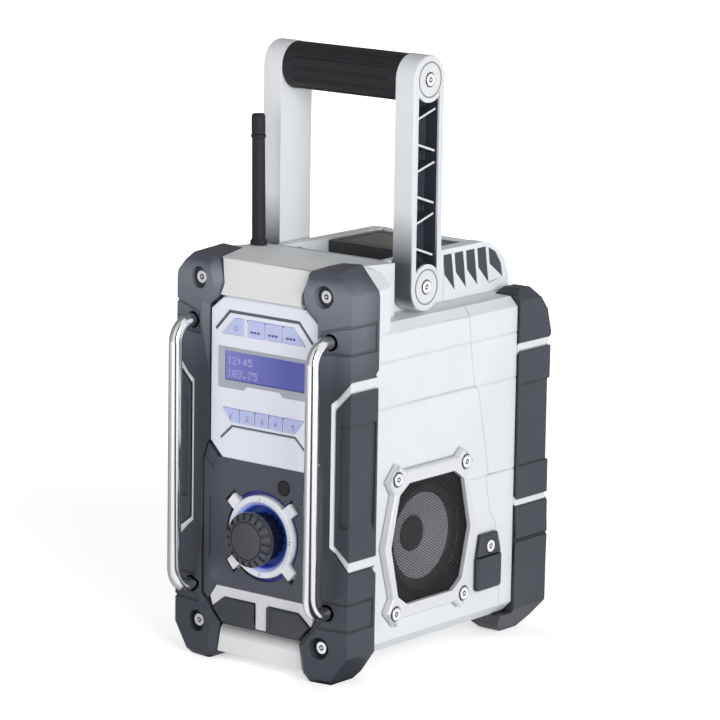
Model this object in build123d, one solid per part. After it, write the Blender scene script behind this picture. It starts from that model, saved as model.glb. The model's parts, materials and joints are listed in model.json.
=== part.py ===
from build123d import *
import math
import os

# Portable jobsite radio, modelled as separate pieces in millimetres.
# X points right, Y points back, Z points up. While the pieces are made, Y = 0 lies midway
# between the front and back rubber corners; on export everything moves back by half the
# reach of the guard bars, so that the origin is the centre of the whole footprint.
# The width, depth and height over all follow from the sizes of what lies side by side.

# ---------------------------------------------------------------- walls and clearances
wall = 3.0                  # housing wall
rubber = 8.0                # rubber thickness at the front and back
rubber_side = 5.0           # rubber thickness at the sides
slip = 0.3                  # gap between pieces of different bodies
running = 0.05              # radial clearance of shafts and pins
seam_gap = 0.3              # bumper to the pocket around it
panel_gap = 0.4             # between panels that lie side by side

# ---------------------------------------------------------------- across the front, from the middle outwards
lcd_half = 37.3             # half width of the screen's window
lcd_border = 5.8            # shallow recess around the window
panel_half = lcd_half + lcd_border + 6.9    # display panel
strip_inner = panel_half + panel_gap
strip_flat = strip_inner + 8.0
strip_outer = strip_inner + 13.8
pad_inner = strip_outer + 3.7
pad_width = 13.6            # bumper, in front view
half_guard = pad_inner + pad_width
side_step = 2.5             # rubber corners proud of the painted sides
half_case = half_guard - side_step
arm_room = 27.0             # ledge beside the narrow upper body, for the handle arms
half_upper = half_case - arm_room
nose_half = half_guard - rubber_side
control_half = strip_inner + 5.7
corner_inner_x = panel_half - 7.0       # where the tilted front face of a corner is furthest forward
guard_screw_x = strip_inner + 7.6
bar_x = strip_inner + 13.5
latch_half = half_upper - 12.0
bay_half = half_upper + 0.5
deck_half = half_upper + 10.0           # flat deck in front of the finger recess

# ---------------------------------------------------------------- along the sides, from front to back
front_wrap = 32.0           # how far the front corners reach along the sides
speaker_margin = 6.3        # front corner to the speaker's frame
frame_half = 54.2           # half length of that frame
dc_gap = 5.6                # speaker frame to the power socket's cover
dc_cover_half = 15.0
seam_offset = 17.2          # middle of that cover to the seam behind it
rear_margin = 15.5          # seam to the rear corner
rear_wrap = 40.0            # how far the rear corners reach along the sides
front_half_depth = front_wrap + speaker_margin + 2 * frame_half + dc_gap
guard_depth = front_half_depth + dc_cover_half + seam_offset + rear_margin + rear_wrap
front = -guard_depth / 2
back = guard_depth / 2
wall_front = front + rubber
wall_back = back - rubber
wrap_front = front + front_wrap
wrap_back = back - rear_wrap
cavity_front = wall_front + wall
cavity_back = wall_back - wall
speaker_y = wrap_front + speaker_margin + frame_half
dc_y = speaker_y + frame_half + dc_gap + dc_cover_half
pivot_y = speaker_y + 6.5
latch_front = pivot_y + 24.0
finger_length = 46.0        # recess in front of the latch
finger_front = latch_front - finger_length
bay_depth = 60.0
bay_front = back - bay_depth
bay_wall = 2.5
latch_seat_back = bay_front + bay_wall + 5.0
latch_back = latch_seat_back - 1.5
seam_upper_y = dc_y - 23.8
antenna_y = wrap_front + 28.0

# ---------------------------------------------------------------- heights, from the floor up the front
underside = 16.8            # floor clearance of the housing
nose_underside = 8.0        # floor clearance of the housing between the front corners
sill_bottom = 6.5
port_bottom = 28.6
port_height = 19.4
port_top = port_bottom + port_height
trim_band = 7.6             # silver band above the port covers
dial_margin = 9.5           # that band to the hole around the dial
dial_hole_radius = 33.8
dial_height = port_top + trim_band + dial_margin + dial_hole_radius
mute_radius = 5.3
mute_gap = 4.3              # dial's hole to the mute button
mute_angle = math.radians(63.4)
mute_reach = dial_hole_radius + mute_gap + mute_radius
mute_x = mute_reach * math.cos(mute_angle)
mute_height = dial_height + mute_reach * math.sin(mute_angle)
display_margin = 9.0        # mute button to the display panel
display_bottom = mute_height + mute_radius + display_margin
display_corner = 11.5
ear_top = display_bottom + display_corner
preset_margin = 27.6        # panel's edge to the preset keys
preset_row_height = 10.0
preset_row_top = display_bottom + preset_margin + preset_row_height
lcd_margin = 20.2           # preset keys to the screen
lcd_bottom = preset_row_top + lcd_margin
lcd_height = 21.6
lcd_top = lcd_bottom + lcd_height
key_margin = 12.6           # screen to the function keys
key_row_bottom = lcd_top + key_margin
key_row_height = 12.3
key_row_top = key_row_bottom + key_row_height
display_top = key_row_top + 14.2
plate_height = 30.5         # painted plate above the display
case_top = display_top + plate_height   # deck behind that plate
guard_rise = 1.8
guard_top = case_top + guard_rise       # top of the front rubber corners
deck_fall = 3.0
rail_top = case_top - deck_fall         # top of the two rails beside the latch
side_bevel = 7.0            # bevel along the top edge of both sides
bottom_bevel = 9.0          # bevel along the bottom edge of both sides

# ---------------------------------------------------------------- handle
pivot_depth = 19.6          # pivots below the top of the rails
pivot_height = rail_top - pivot_depth
handle_reach = 150.5        # pivot axis to grip axis
arm_radius = 17.75
arm_thickness = 17.8
arm_gap = 0.9               # arm to the side of the upper body
arm_window_depth = 13.0
arm_window_half = 12.0
arm_window_shift = -0.5     # the window lies this much in front of the arm's middle
arm_window_end = 16.6       # round ends left around the two pivots
arm_rib = 1.8
arm_edge = 1.8
spigot_radius = 9.0
spigot_length = 9.0
grip_radius = 17.3
grip_core_radius = 12.0
grip_height = pivot_height + handle_reach
arm_inner = half_upper + arm_gap
arm_outer = arm_inner + arm_thickness
fold_margin = 2.0           # arm foot to the ledge below it
ledge = pivot_height - arm_radius - fold_margin
rear_top = ledge + 4.85     # top of the rear rubber corners
shoulder = ledge - 20.0     # pieces that stand on the ledge reach down to here, inside the case

# ---------------------------------------------------------------- guard bars
bar_radius = 5.0
bar_standoff = 21.5         # bar axis in front of the rubber corners
bar_bend = 15.0
bar_drop = 51.8             # upper ends of the bars below the top of the corners
bar_top = guard_top - bar_drop
bar_bottom = 54.0
bar_reach = bar_standoff + bar_radius
bar_root = wall_front + 7.0

# ---------------------------------------------------------------- rubber corners and ribs
corner_proud = 5.2          # front corners in front of the bumpers, at their inner edge
corner_chamfer_start = front + 0.4
corner_rise = 2.8           # the top of a front corner rises this much towards the back
foot_bevel = 4.0
face_turn = math.degrees(math.atan2(corner_proud, half_guard - corner_inner_x))
corner_groove = 1.8         # width of the groove lines
line_depth = 0.8            # depth of the groove lines
strip_face = front + 1.4    # strip that joins the two corners
strip_lip = 1.8
rib_proud = 1.3             # rubber in front of the painted rib, at the sides
pad_face = 0.6              # bumpers behind the front and back of the corners
pad_relief = 1.3            # shallow step in the middle of a bumper
nose_bevel = 12.0
nose_top_bevel = 14.5
nose_top = guard_top - 6.8
# inner and outer heights of the notches and of the bumpers that lie in them
notch_top = (bar_top - 44.5, bar_top - 26.0)
notch_bottom = (bar_bottom + 47.4, bar_bottom + 30.0)
pad_top = (notch_top[0] - 4.5, notch_top[1] - 9.0)
pad_bottom = (notch_bottom[0] + 2.1, notch_bottom[1] + 8.8)
rear_notch_x = half_guard - 15.5
rear_notch_top = (rear_top - 54.5, rear_top - 38.5)
rear_notch_bottom = (112.0, 98.0)
rear_pad_inner = rear_notch_x + 4.0
rear_pad_top = (rear_notch_top[0] - 5.0, rear_notch_top[1] - 7.0)
rear_pad_bottom = (rear_notch_bottom[0] + 6.0, rear_notch_bottom[1] + 6.0)

# ---------------------------------------------------------------- vents in both rails
vent_pitch = 13.85
vent_count = 4
vent_front = seam_upper_y - 0.7
vent_top = rail_top - 4.2
vent_height = 27.5

# ---------------------------------------------------------------- front panels and keys
display_face = front + 1.6
control_face = front + 2.2
control_corner = ear_top - 13.3         # where the control panel reaches its full width
groove_width = 2.4
groove_depth = 0.8
key_width = 14.7
key_gap = 1.9
button_proud = 1.0
button_travel = 1.2
button_flange = 1.2
flange_thickness = 1.2
flange_face = wall_front - 0.1          # back of the keys, just clear of the housing
lcd_recess = 2.6
lens_margin = 1.2           # the lens is this much larger than its window, all round
lens_thickness = 1.2
board_thickness = 1.6
dome_radius = 2.5

# ---------------------------------------------------------------- volume dial
ring_outer = 30.5
ring_inner = 23.0
ring_face = front - 0.8
prong_reach = 38.3
prong_width = 9.0
prong_angle = 41.0
prong_gap = 3.0
knob_radius = 20.2
knob_face = front - 16.5
knob_disc_radius = 13.6
knob_root_radius = 17.6
knob_flutes = 18
shaft_radius = 3.0
bush_radius = 5.0
push_travel = 1.0

# ---------------------------------------------------------------- port row
bridge_half = 5.6
port_inner = bridge_half + 4.0
port_outer = panel_half - 3.8
port_elbow = port_bottom + 10.0         # height of the covers' outer points
sill_top = port_bottom - 1.0
sill_half_top = panel_half - 13.0
sill_half_bottom = panel_half - 9.4
cover_thickness = 3.6
cover_proud = 0.2
jack_radius = 1.85
jack_x = 27.5
jack_height = port_bottom + 9.4
usb_width = 12.6
usb_height = 5.4

# ---------------------------------------------------------------- speakers
frame_half_height = 60.3
speaker_rise = 18.9         # housing's underside to the speaker's frame
speaker_height = underside + speaker_rise + frame_half_height
screw_pitch_y = 2 * (frame_half - 13.8)
screw_pitch_z = 2 * (frame_half_height - 10.5)
frame_thickness = 6.0
cone_radius = 32.0
cone_depth = 17.0
cone_thickness = 1.0
surround_radius = 40.0
flange_radius = 45.0
flange_depth = 2.5
speaker_hole = 41.5
magnet_radius = 25.0
magnet_depth = 14.0
grille_thickness = 0.9
cap_radius = 13.0

# ---------------------------------------------------------------- screws (one size everywhere)
screw_head_radius = 4.6
screw_head_height = 3.0
screw_shank_radius = 1.95
screw_length = 15.0
socket_radius = 2.1
socket_depth = 2.0
head_recess = 2.4           # heads sink this far into what they hold
guard_screw_top = guard_top - 20.0
guard_screw_bottom = 26.8
counterbore_radius = 8.0
counterbore_depth = 3.0     # below the bumpers' level

# ---------------------------------------------------------------- power socket on the right side
dc_height = 55.0
dc_cover_top = dc_height + 30.0
dc_screw_height = dc_height + 20.5
dc_hinge_height = dc_height + 12.8
dc_cover_bottom = dc_height - 12.6
dc_cover_thickness = 4.0
dc_bore_radius = 3.2
dc_pin_radius = 1.0

# ---------------------------------------------------------------- seam and styling lines of the sides, (y, z)
line_high = 232.0
line_middle = 198.0
line_low = 128.4
seam_y = dc_y + seam_offset
seam_side = [(dc_y - 26.3, ledge - 6.85), (dc_y - 24.1, ledge - 28.65), (dc_y - 18.3, line_middle + 1.3),
             (dc_y - 13.9, line_middle - 2.6), (dc_y - 4.7, line_low + 27.7), (dc_y + 0.5, line_low + 0.8),
             (dc_y - 2.1, line_low - 2.1), (dc_y + 3.4, dc_cover_top + 15.8),
             (dc_y + 10.1, dc_cover_top + 6.7), (dc_y + 13.3, dc_cover_top - 5.1),
             (seam_y, dc_cover_top - 10.0)]

# ---------------------------------------------------------------- antenna
antenna_x = -half_upper - 3.0
antenna_length = 96.8
antenna_radius = 5.1
antenna_lean = 1.0
antenna_stem = 2.9
antenna_root = 9.0          # stem inside the housing

# ---------------------------------------------------------------- latch, battery bay and door
latch_gap = 0.5
latch_thickness = 4.5
latch_top = rail_top - 1.4
latch_lip = 4.0             # thickness of the lip at its front
latch_rib_pitch = 4.4
latch_pin_radius = 1.5
latch_pin_reach = 3.4
latch_axis_y = latch_back - 3.0
latch_axis_z = latch_top - latch_thickness - 1.3
finger_floor = rail_top - 14.0
finger_flare = 5.0
hinge_height = underside + 21.2
hinge_y = wall_back + 0.2
hinge_pin_radius = 2.0
hinge_radius = 4.0
knuckle_half = 30.0
ear_length = 8.0
bay_bottom = hinge_height + 10.0
bay_top = ledge - 8.65
door_gap = 0.5
door_thickness = 3.2
door_face = wall_back + 3.4
door_rib_pitch = 30.0

places = {}


# ================================================================ shape helpers
def block(x0, x1, y0, y1, z0, z1):
    """A box between two corners."""
    return Pos((x0 + x1) / 2, (y0 + y1) / 2, (z0 + z1) / 2) * Box(abs(x1 - x0), abs(y1 - y0), abs(z1 - z0))


def slab(x_half, y0, y1, z0, z1):
    """A box centred on X = 0."""
    return block(-x_half, x_half, y0, y1, z0, z1)


def prism_x(points, x0, x1):
    """A (y, z) outline drawn out along X."""
    face = make_face(Polyline(*[(x0, y, z) for y, z in points], close=True))
    return extrude(face, amount=x1 - x0, dir=(1, 0, 0))


def prism_y(points, y0, y1):
    """An (x, z) outline drawn out along Y."""
    face = make_face(Polyline(*[(x, y0, z) for x, z in points], close=True))
    return extrude(face, amount=y1 - y0, dir=(0, 1, 0))


def prism_z(points, z0, z1):
    """An (x, y) outline drawn out along Z."""
    face = make_face(Polyline(*[(x, y, z0) for x, y in points], close=True))
    return extrude(face, amount=z1 - z0, dir=(0, 0, 1))


def rod_x(y, z, radius, x0, x1):
    return Pos((x0 + x1) / 2, y, z) * Rot(0, 90, 0) * Cylinder(radius, abs(x1 - x0))


def rod_y(x, z, radius, y0, y1):
    return Pos(x, (y0 + y1) / 2, z) * Rot(90, 0, 0) * Cylinder(radius, abs(y1 - y0))


def rod_z(x, y, radius, z0, z1):
    return Pos(x, y, (z0 + z1) / 2) * Cylinder(radius, abs(z1 - z0))


def both_ways(points):
    """An outline for x >= 0, listed from the top centre down, closed by its mirror image."""
    return points + [(-x, z) for x, z in reversed(points)]


def mirrored(shape):
    return mirror(shape, about=Plane.YZ)


def turned_y(profile, x, z):
    """A solid of revolution about a Y axis, from (radius, y) points."""
    outline = make_face(Polyline(*[(x + r, y, z) for r, y in profile], close=True))
    return revolve(outline, axis=Axis((x, 0, z), (0, 1, 0)))


def turned_x(profile, y, z):
    """A solid of revolution about an X axis, from (x, radius) points."""
    outline = make_face(Polyline(*[(x, y, z + r) for x, r in profile], close=True))
    return revolve(outline, axis=Axis((0, y, z), (1, 0, 0)))


def add(name, shape):
    places[name] = shape


# ================================================================ outlines shared by neighbours
def nose_outline(top, bevel, bottom):
    """Front view of the housing where the rubber corners cover it."""
    return both_ways([(nose_half - bevel, top), (nose_half, top - bevel), (nose_half, bottom + nose_bevel),
                      (nose_half - nose_bevel + 3.5, bottom)])


def nose_core(y0, y1):
    """The housing behind the front corners, as they are cut out to fit it."""
    return prism_y(nose_outline(nose_top, nose_top_bevel, nose_underside), y0, y1)


def tail_core(y0, y1):
    """The housing inside the rear corners."""
    return prism_y(nose_outline(ledge, side_bevel + 1.0, underside), y0, y1)


def case_outline(inset):
    """Front view of the case below the handle; inset moves every wall inwards."""
    slant = inset * math.tan(math.radians(22.5))
    return both_ways([(half_case - side_bevel - slant, ledge - inset),
                      (half_case - inset, ledge - side_bevel - slant),
                      (half_case - inset, underside + bottom_bevel + slant),
                      (half_case - bottom_bevel - slant, underside + inset)])


def corner_inner_edge():
    """Inner edge of a front corner guard beside its neighbours, from the top down."""
    wide = control_half + panel_gap
    return [(panel_half - 2.8, guard_top - 1.0), (panel_half - 8.1, guard_top - 5.0),
            (panel_half - 13.4, guard_top - 21.8), (panel_half - 12.0, display_top + 3.1),
            (strip_inner, display_top - 6.5), (strip_inner, ear_top), (strip_inner + 2.8, ear_top - 2.7),
            (wide, control_corner), (wide, port_top), (panel_half - 12.1, port_bottom - 0.2),
            (panel_half - 9.0, 5.0), (panel_half - 2.8, 0)]


def front_guard_outline():
    """Front view of one front corner guard: two faceted corners joined by a strip."""
    x_out = half_guard
    outer = [(strip_outer + 0.5, guard_top), (x_out - 1.0, guard_top - 17.0), (x_out, guard_top - 22.0),
             (x_out, notch_top[1]), (strip_outer, notch_top[0]), (strip_outer, notch_bottom[0]),
             (x_out, notch_bottom[1]), (x_out, 22.0), (x_out - 13.5, 3.0), (x_out - 15.5, 0)]
    return outer + corner_inner_edge()[::-1]


def rear_guard_outline():
    x_out = half_guard
    inner = bay_half + 1.5
    high, low = rear_notch_top, rear_notch_bottom
    return [(inner + 6.0, rear_top), (x_out - 6.5, rear_top), (x_out, rear_top - 8.0), (x_out, high[1]),
            (rear_notch_x, high[0]), (rear_notch_x, low[0]), (x_out, low[1]), (x_out, 20.0), (x_out - 11.5, 3.0),
            (x_out - 13.5, 0), (inner - 2.0, 0), (inner - 9.0, 7.0), (inner - 11.0, 20.0),
            (inner, hinge_height - 7.0), (inner, bay_top + 2.0)]


def bumper_outline(inner, top, bottom, grow):
    """Front view of a bumper; grow widens it evenly into the pocket that it lies in."""
    return [(inner - grow, top[0] + grow), (half_guard, top[1] + grow), (half_guard, bottom[1] - grow),
            (inner - grow, bottom[0] - grow)]


def rib_outline(inner, top, bottom):
    """Front view of the painted rib that fills the notch of a guard."""
    share = 1 - rib_proud / (half_guard - inner)
    outer_top = top[0] + (top[1] - top[0]) * share
    outer_bottom = bottom[0] + (bottom[1] - bottom[0]) * share
    return [(inner, top[0]), (half_guard - rib_proud, outer_top), (half_guard - rib_proud, outer_bottom),
            (inner, bottom[0])]


def front_side_profile():
    """Side view of the front corners, seen from the right."""
    far = front - 20
    return [(far, 0), (wrap_front - 5, 0), (wrap_front, 5), (wrap_front, guard_top + 1), (far, guard_top + 1)]


def corner_face(shape):
    """Turns and moves a shape made for y = 0 onto the tilted front face of the right corners."""
    return Pos(corner_inner_x, front - corner_proud, 0) * Rot(0, 0, face_turn) * shape


def corner_front():
    """Everything behind the front, top and bottom surfaces of the right corners."""
    top = guard_top - corner_rise
    reach = front_wrap + 28.0
    profile = [(0, foot_bevel), (foot_bevel, 0), (reach, 0), (reach, guard_top + 0.6),
               (front_wrap, guard_top), (4.0, top), (0, top - 6.0)]
    return corner_face(prism_x(profile, -20, 60))


def strip_cut():
    """Lowers the strip between the two front corners, with a lip along its outer edge."""
    ahead = front - 20
    high, low = bar_top - 6.0, bar_bottom + 6.0
    left, right = strip_inner - 20.0, half_guard + 20.0
    side = prism_x([(ahead, high + 90), (strip_face - 4.6, high), (strip_face, notch_top[0]),
                    (strip_face, notch_bottom[0]), (strip_face - 4.6, low), (ahead, low - 90)], left, right)
    lip_slope = strip_lip / (strip_outer - strip_flat)
    lip_face = strip_face - lip_slope * (right - strip_flat)
    plan = prism_z([(left, ahead), (left, strip_face), (strip_flat, strip_face), (right, lip_face),
                    (right, ahead - 20)], 0, guard_top)
    return side & plan


def corner_chamfer():
    """Everything inside the 45 degree chamfer along the inner edge of a front corner."""
    depth = 8.0
    edge = corner_inner_edge()
    right = half_guard + 30.0
    closed = [(panel_half + 18.4, guard_top + 15), (right, guard_top + 15), (right, -15),
              (panel_half + 15.8, -15)]
    closed += edge[::-1][1:-1]
    face = make_face(Polyline(*[(x, corner_chamfer_start, z) for x, z in closed], close=True))
    ahead = extrude(face, amount=depth, dir=(0, -1, 0), taper=45)
    return ahead + prism_y(closed, corner_chamfer_start, wrap_front)


def rear_side_profile():
    """Side view of the rear corners; the foot reaches forward under the housing."""
    return [(wrap_back - 14, underside), (wrap_back - 9, 8), (wrap_back - 2, 1.5), (wrap_back + 2, 0),
            (back - 18, 0), (back - 8, 8), (back, 20), (back, rear_top - 36), (back - 5, rear_top - 18),
            (back - 20, rear_top), (wrap_back + 7, rear_top), (wrap_back, rear_top - 4),
            (wrap_back, underside)]


def upper_body_profile(inset, y0, z0):
    """Side view of the narrow upper body: level on top, rounded down at the back."""
    top = rail_top - inset
    rear = wall_back - 7.5 - inset
    level_end = wall_back - 40.5
    arc_end = rail_top - 34.0
    middle = (wall_back - 19.0 - 0.7 * inset, rail_top - 10.0 - 0.7 * inset)
    arc = ThreePointArc((0, level_end, top), (0, *middle), (0, rear, arc_end))
    corners = [(rear, arc_end), (rear, z0), (y0, z0), (y0, top), (level_end, top)]
    straight = Polyline(*[(0, y, z) for y, z in corners])
    return make_face(Wire([arc, *straight.edges()]))


def upper_body(inset, y0, z0, x0, x1):
    return Pos(x0, 0, 0) * extrude(upper_body_profile(inset, y0, z0), amount=x1 - x0, dir=(1, 0, 0))


def front_side_of_seam():
    over = guard_top + 50.0
    outline = [(front - 60, -10), (front - 60, over), (seam_upper_y, over), (seam_upper_y, ledge)]
    outline += seam_side + [(seam_y, -10)]
    return prism_x(outline, -half_guard - 20, half_guard + 20)


# ================================================================ screws
def screw_x(x_head, y, z, side):
    """Socket-head screw along X; x_head is the seat of its head and side is +1 or -1."""
    head = rod_x(y, z, screw_head_radius, x_head, x_head + side * screw_head_height)
    shank = rod_x(y, z, screw_shank_radius, x_head, x_head - side * screw_length)
    end = x_head + side * screw_head_height
    socket = Pos(end - side * socket_depth, y, z) * Rot(0, 90 * side, 0) * extrude(
        RegularPolygon(socket_radius, 6), amount=socket_depth + 1)
    return head + shank - socket


def screw_y(x, y_head, z):
    """Socket-head screw along Y, its head towards the front."""
    head = rod_y(x, z, screw_head_radius, y_head - screw_head_height, y_head)
    shank = rod_y(x, z, screw_shank_radius, y_head, y_head + screw_length)
    socket = Pos(x, y_head - screw_head_height + socket_depth, z) * Rot(90, 0, 0) * extrude(
        RegularPolygon(socket_radius, 6), amount=socket_depth + 1)
    return head + shank - socket


def guard_screw_points():
    return [(side * guard_screw_x, z) for side in (1, -1) for z in (guard_screw_top, guard_screw_bottom)]


def speaker_screw_points():
    return [(speaker_y + i * screw_pitch_y / 2, speaker_height + j * screw_pitch_z / 2)
            for i in (1, -1) for j in (1, -1)]


# ================================================================ housings
def case_body():
    """Outside of both housings together, before it is hollowed."""
    middle = prism_y(case_outline(0), wrap_front, wrap_back)
    cover_points = both_ways([(half_case - 15.5, case_top), (half_case, case_top - 16.5),
                              (half_case, shoulder)])
    cover_end = both_ways([(half_case - 11.0, case_top - 5.5), (half_case - 2.0, case_top - 15.0),
                           (half_case - 2.0, shoulder)])
    cover_back = wrap_front + 18.0
    cover = loft([make_face(Polyline(*[(x, wrap_front, z) for x, z in cover_points], close=True)),
                  make_face(Polyline(*[(x, cover_back, z) for x, z in cover_end], close=True))])
    deck = slab(deck_half, wrap_front, finger_front - 4.0, shoulder, case_top)
    body = nose_core(wall_front, wrap_front) + middle + tail_core(wrap_back, wall_back) + cover + deck
    body += upper_body(0, cover_back - 2, shoulder, -half_upper, half_upper)
    rear_rib = rib_outline(rear_notch_x, rear_notch_top, rear_notch_bottom)
    rib = front_rib() + prism_y(rear_rib, wrap_back, back - 2)
    body += rib + mirrored(rib)
    body -= deck_slope()
    return body


def front_rib():
    """The painted rib around a front bumper, sloping back from the strip to the bumper."""
    rib = prism_y(rib_outline(strip_outer, notch_top, notch_bottom), front - 1, wrap_front)
    slope = prism_z([(strip_outer - 1, front - 2), (strip_outer, front - 0.4), (pad_inner, front + 1.9),
                     (half_guard, front + 1.9), (half_guard, front - 2)], 0, guard_top)
    return rib - slope


def deck_slope():
    """Falls gently from the front plate to the finger recess."""
    return prism_x([(wrap_front, case_top), (finger_front, rail_top), (finger_front, case_top + 5),
                    (wrap_front, case_top + 5)], -half_case, half_case)


def side_grooves():
    """Fine styling grooves in both sides."""
    cuts = []
    depth = 0.7
    rows = [(line_middle, wrap_front, wrap_back), (line_high, wrap_front, wrap_back),
            (line_low, seam_upper_y + 0.5, wrap_back)]
    for side in (1, -1):
        face = side * half_case
        for height, y0, y1 in rows:
            outline = [(face, height - 0.9), (face - side * depth, height), (face, height + 0.9),
                       (face + side, height + 0.9), (face + side, height - 0.9)]
            cuts.append(prism_y(outline, y0, y1))
    return cuts


def hollow():
    """The air inside both housings."""
    middle = prism_y(case_outline(wall), wrap_front - wall, wrap_back - wall)
    tail = slab(nose_half - wall, wrap_back - wall, cavity_back, underside + nose_bevel,
                ledge - side_bevel - wall - 1)
    nose = slab(nose_half - wall, cavity_front, wrap_front, nose_underside + nose_bevel,
                nose_top - nose_top_bevel - wall)
    head = slab(nose_half - wall - nose_top_bevel, cavity_front, wrap_front + 15, shoulder, nose_top - wall)
    arch = slab(half_upper - wall, wrap_front, latch_seat_back - bay_wall, shoulder, finger_floor - wall)
    return middle + tail + nose + head + arch


def rail_hollows():
    """Narrow channels behind the vents, inside both rails."""
    inner = half_upper - wall
    width = 5.5
    channel = upper_body(wall + 0.5, finger_front + 5.0, ledge + wall, inner - width, inner)
    return channel + mirrored(channel)


def vents():
    """Four tapered slots and one rounded slot through each rail's outer wall."""
    cuts = []
    top = vent_top
    for index in range(vent_count):
        y = vent_front + index * vent_pitch
        cuts.append([(y, top), (y + 10.3, top), (y + 14.9, top - vent_height), (y + 2.0, top - 14.5)])
    y = vent_front + vent_count * vent_pitch
    cuts.append([(y, top - 0.8), (y + 9.0, top - 5.5), (y + 16.0, top - 15.0), (y + 18.0, top - 25.0),
                 (y + 2.0, top - 13.5)])
    shapes = []
    for outline in cuts:
        slot = prism_x(outline, half_upper - wall - 1.0, half_upper + 1.0)
        shapes += [slot, mirrored(slot)]
    return shapes


def finger_recess():
    """Space in front of the latch for the fingers, and the latch's own seat."""
    wide = latch_half + latch_gap + finger_flare
    narrow = latch_half + latch_gap
    lip_back = latch_front + latch_lip + 0.6
    well = prism_z([(-wide, finger_front), (wide, finger_front), (narrow, latch_front), (narrow, lip_back),
                    (-narrow, lip_back), (-narrow, latch_front)], finger_floor, case_top + 5)
    seat = slab(narrow, latch_front + latch_lip, latch_seat_back, latch_top - latch_thickness - 4.0,
                case_top + 5)
    return well + seat


def pivot_bosses():
    """Inner tubes that carry the handle's spigots."""
    end = half_upper - spigot_length - wall
    bosses = rod_x(pivot_y, pivot_height, spigot_radius + 3.5, end, half_upper - 0.5)
    return bosses + mirrored(bosses)


def pivot_bores():
    depth = spigot_length - arm_gap + 0.5
    bore = rod_x(pivot_y, pivot_height, spigot_radius + running, half_upper - depth, half_upper + 1.0)
    return bore + mirrored(bore)


def shell_holes():
    """Holes through the front housing for what is mounted on it."""
    cuts = [slab(lcd_half + lens_margin + 3.5, wall_front - 1, cavity_front + 1, display_bottom + 13,
                 display_top - 12)]
    cuts.append(rod_y(0, dial_height, bush_radius + 0.3, wall_front - 1, cavity_front + 1))
    cuts.append(rod_y(mute_x, mute_height, mute_radius + 1.2, wall_front - 1, cavity_front + 1))
    cuts.append(slab(port_outer - 4.0, wall_front - 1, cavity_front + 1, port_bottom + 1.5, port_top - 1.5))
    for side in (1, -1):
        inside, outside = side * (half_case - wall - 1), side * (half_case + 1)
        cuts.append(rod_x(speaker_y, speaker_height, speaker_hole, inside, outside))
        for z in (bar_top, bar_bottom):
            cuts.append(rod_y(side * bar_x, z, bar_radius, wall_front - 1, cavity_front + 5))
    cuts.append(rod_x(dc_y, dc_screw_height, screw_shank_radius, half_case - wall - 1, half_case + 1))
    cuts.append(rod_x(dc_y, dc_height, dc_bore_radius + 3.0, half_case - wall - 1, half_case + 1))
    cuts.append(rod_z(antenna_x, antenna_y, antenna_stem + slip, rail_top - antenna_root, case_top + 1))
    return cuts


def bumper_pockets():
    """The painted rib stands around each bumper, which lies in this pocket."""
    pocket = prism_y(bumper_outline(pad_inner, pad_top, pad_bottom, seam_gap), front - 1, wrap_front)
    rear_pad = bumper_outline(rear_pad_inner, rear_pad_top, rear_pad_bottom, seam_gap)
    rear = prism_y(rear_pad, wrap_back, back + 1)
    pocket = pocket - nose_core(wall_front, wrap_front) + (rear - tail_core(wrap_back, wall_back))
    return [pocket, mirrored(pocket)]


def housing_outside():
    body = case_body()
    for cut in side_grooves() + bumper_pockets():
        body -= cut
    return body


def bay_cut():
    """The battery bay and the space under the door's roof."""
    lower = slab(bay_half, bay_front, back + 1, bay_bottom, bay_top)
    upper = slab(latch_half + latch_gap, latch_seat_back + bay_wall, back + 1, bay_top - 1, case_top + 5)
    roof_clear = slab(latch_half + latch_gap, latch_seat_back - 1, latch_seat_back + bay_wall + 1,
                      rail_top - 0.4 - door_thickness - 0.6, case_top + 5)
    channel = slab(bay_half, wall_back - hinge_radius - 1.8, back + 1, hinge_height - hinge_radius - 1.5,
                   bay_bottom + 1)
    return lower + upper + roof_clear + channel


def bay_shell():
    lower = slab(bay_half + bay_wall, bay_front - bay_wall, wall_back, bay_bottom - bay_wall,
                 bay_top + bay_wall)
    upper = slab(latch_half + latch_gap + bay_wall, latch_seat_back, cavity_back, bay_top, rail_top - 4)
    channel = slab(bay_half + bay_wall, wall_back - hinge_radius - 5, wall_back,
                   hinge_height - hinge_radius - 5, bay_bottom)
    inside = upper & upper_body(0, bay_front, bay_top - 30, -half_upper, half_upper)
    return lower + inside + channel


def housings():
    outside = housing_outside()
    side_one = front_side_of_seam()
    air = hollow()
    front_part = (outside & side_one) - air + pivot_bosses()
    boss_radius = screw_shank_radius + 2.5
    for x, z in guard_screw_points():
        front_part += rod_y(x, z, boss_radius, cavity_front, wall_front + screw_length - counterbore_depth)
    for side in (1, -1):
        for y, z in speaker_screw_points():
            front_part += rod_x(y, z, boss_radius, side * (half_case - wall), side * (half_case - 11))
    front_part -= rail_hollows() & side_one
    front_part -= finger_recess()
    front_part -= pivot_bores()
    for cut in shell_holes():
        front_part -= cut
    for x, z in guard_screw_points():
        front_part -= rod_y(x, z, screw_shank_radius, wall_front - 1, wall_front + 30)
    for side in (1, -1):
        for y, z in speaker_screw_points():
            front_part -= rod_x(y, z, screw_shank_radius, side * (half_case + 1), side * (half_case - 20))
    rear_part = (outside - side_one) - air + bay_shell()
    rear_part -= rail_hollows()
    rear_part -= finger_recess()
    for cut in vents():
        rear_part -= cut
    rear_part -= bay_cut()
    for side in (1, -1):
        rear_part -= rod_x(latch_axis_y, latch_axis_z, latch_pin_radius + running, side * latch_half,
                           side * (latch_half + latch_gap + latch_pin_reach + slip))
    rear_part += hinge_ears()
    add("front_housing", front_part)
    add("rear_housing", rear_part)


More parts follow.
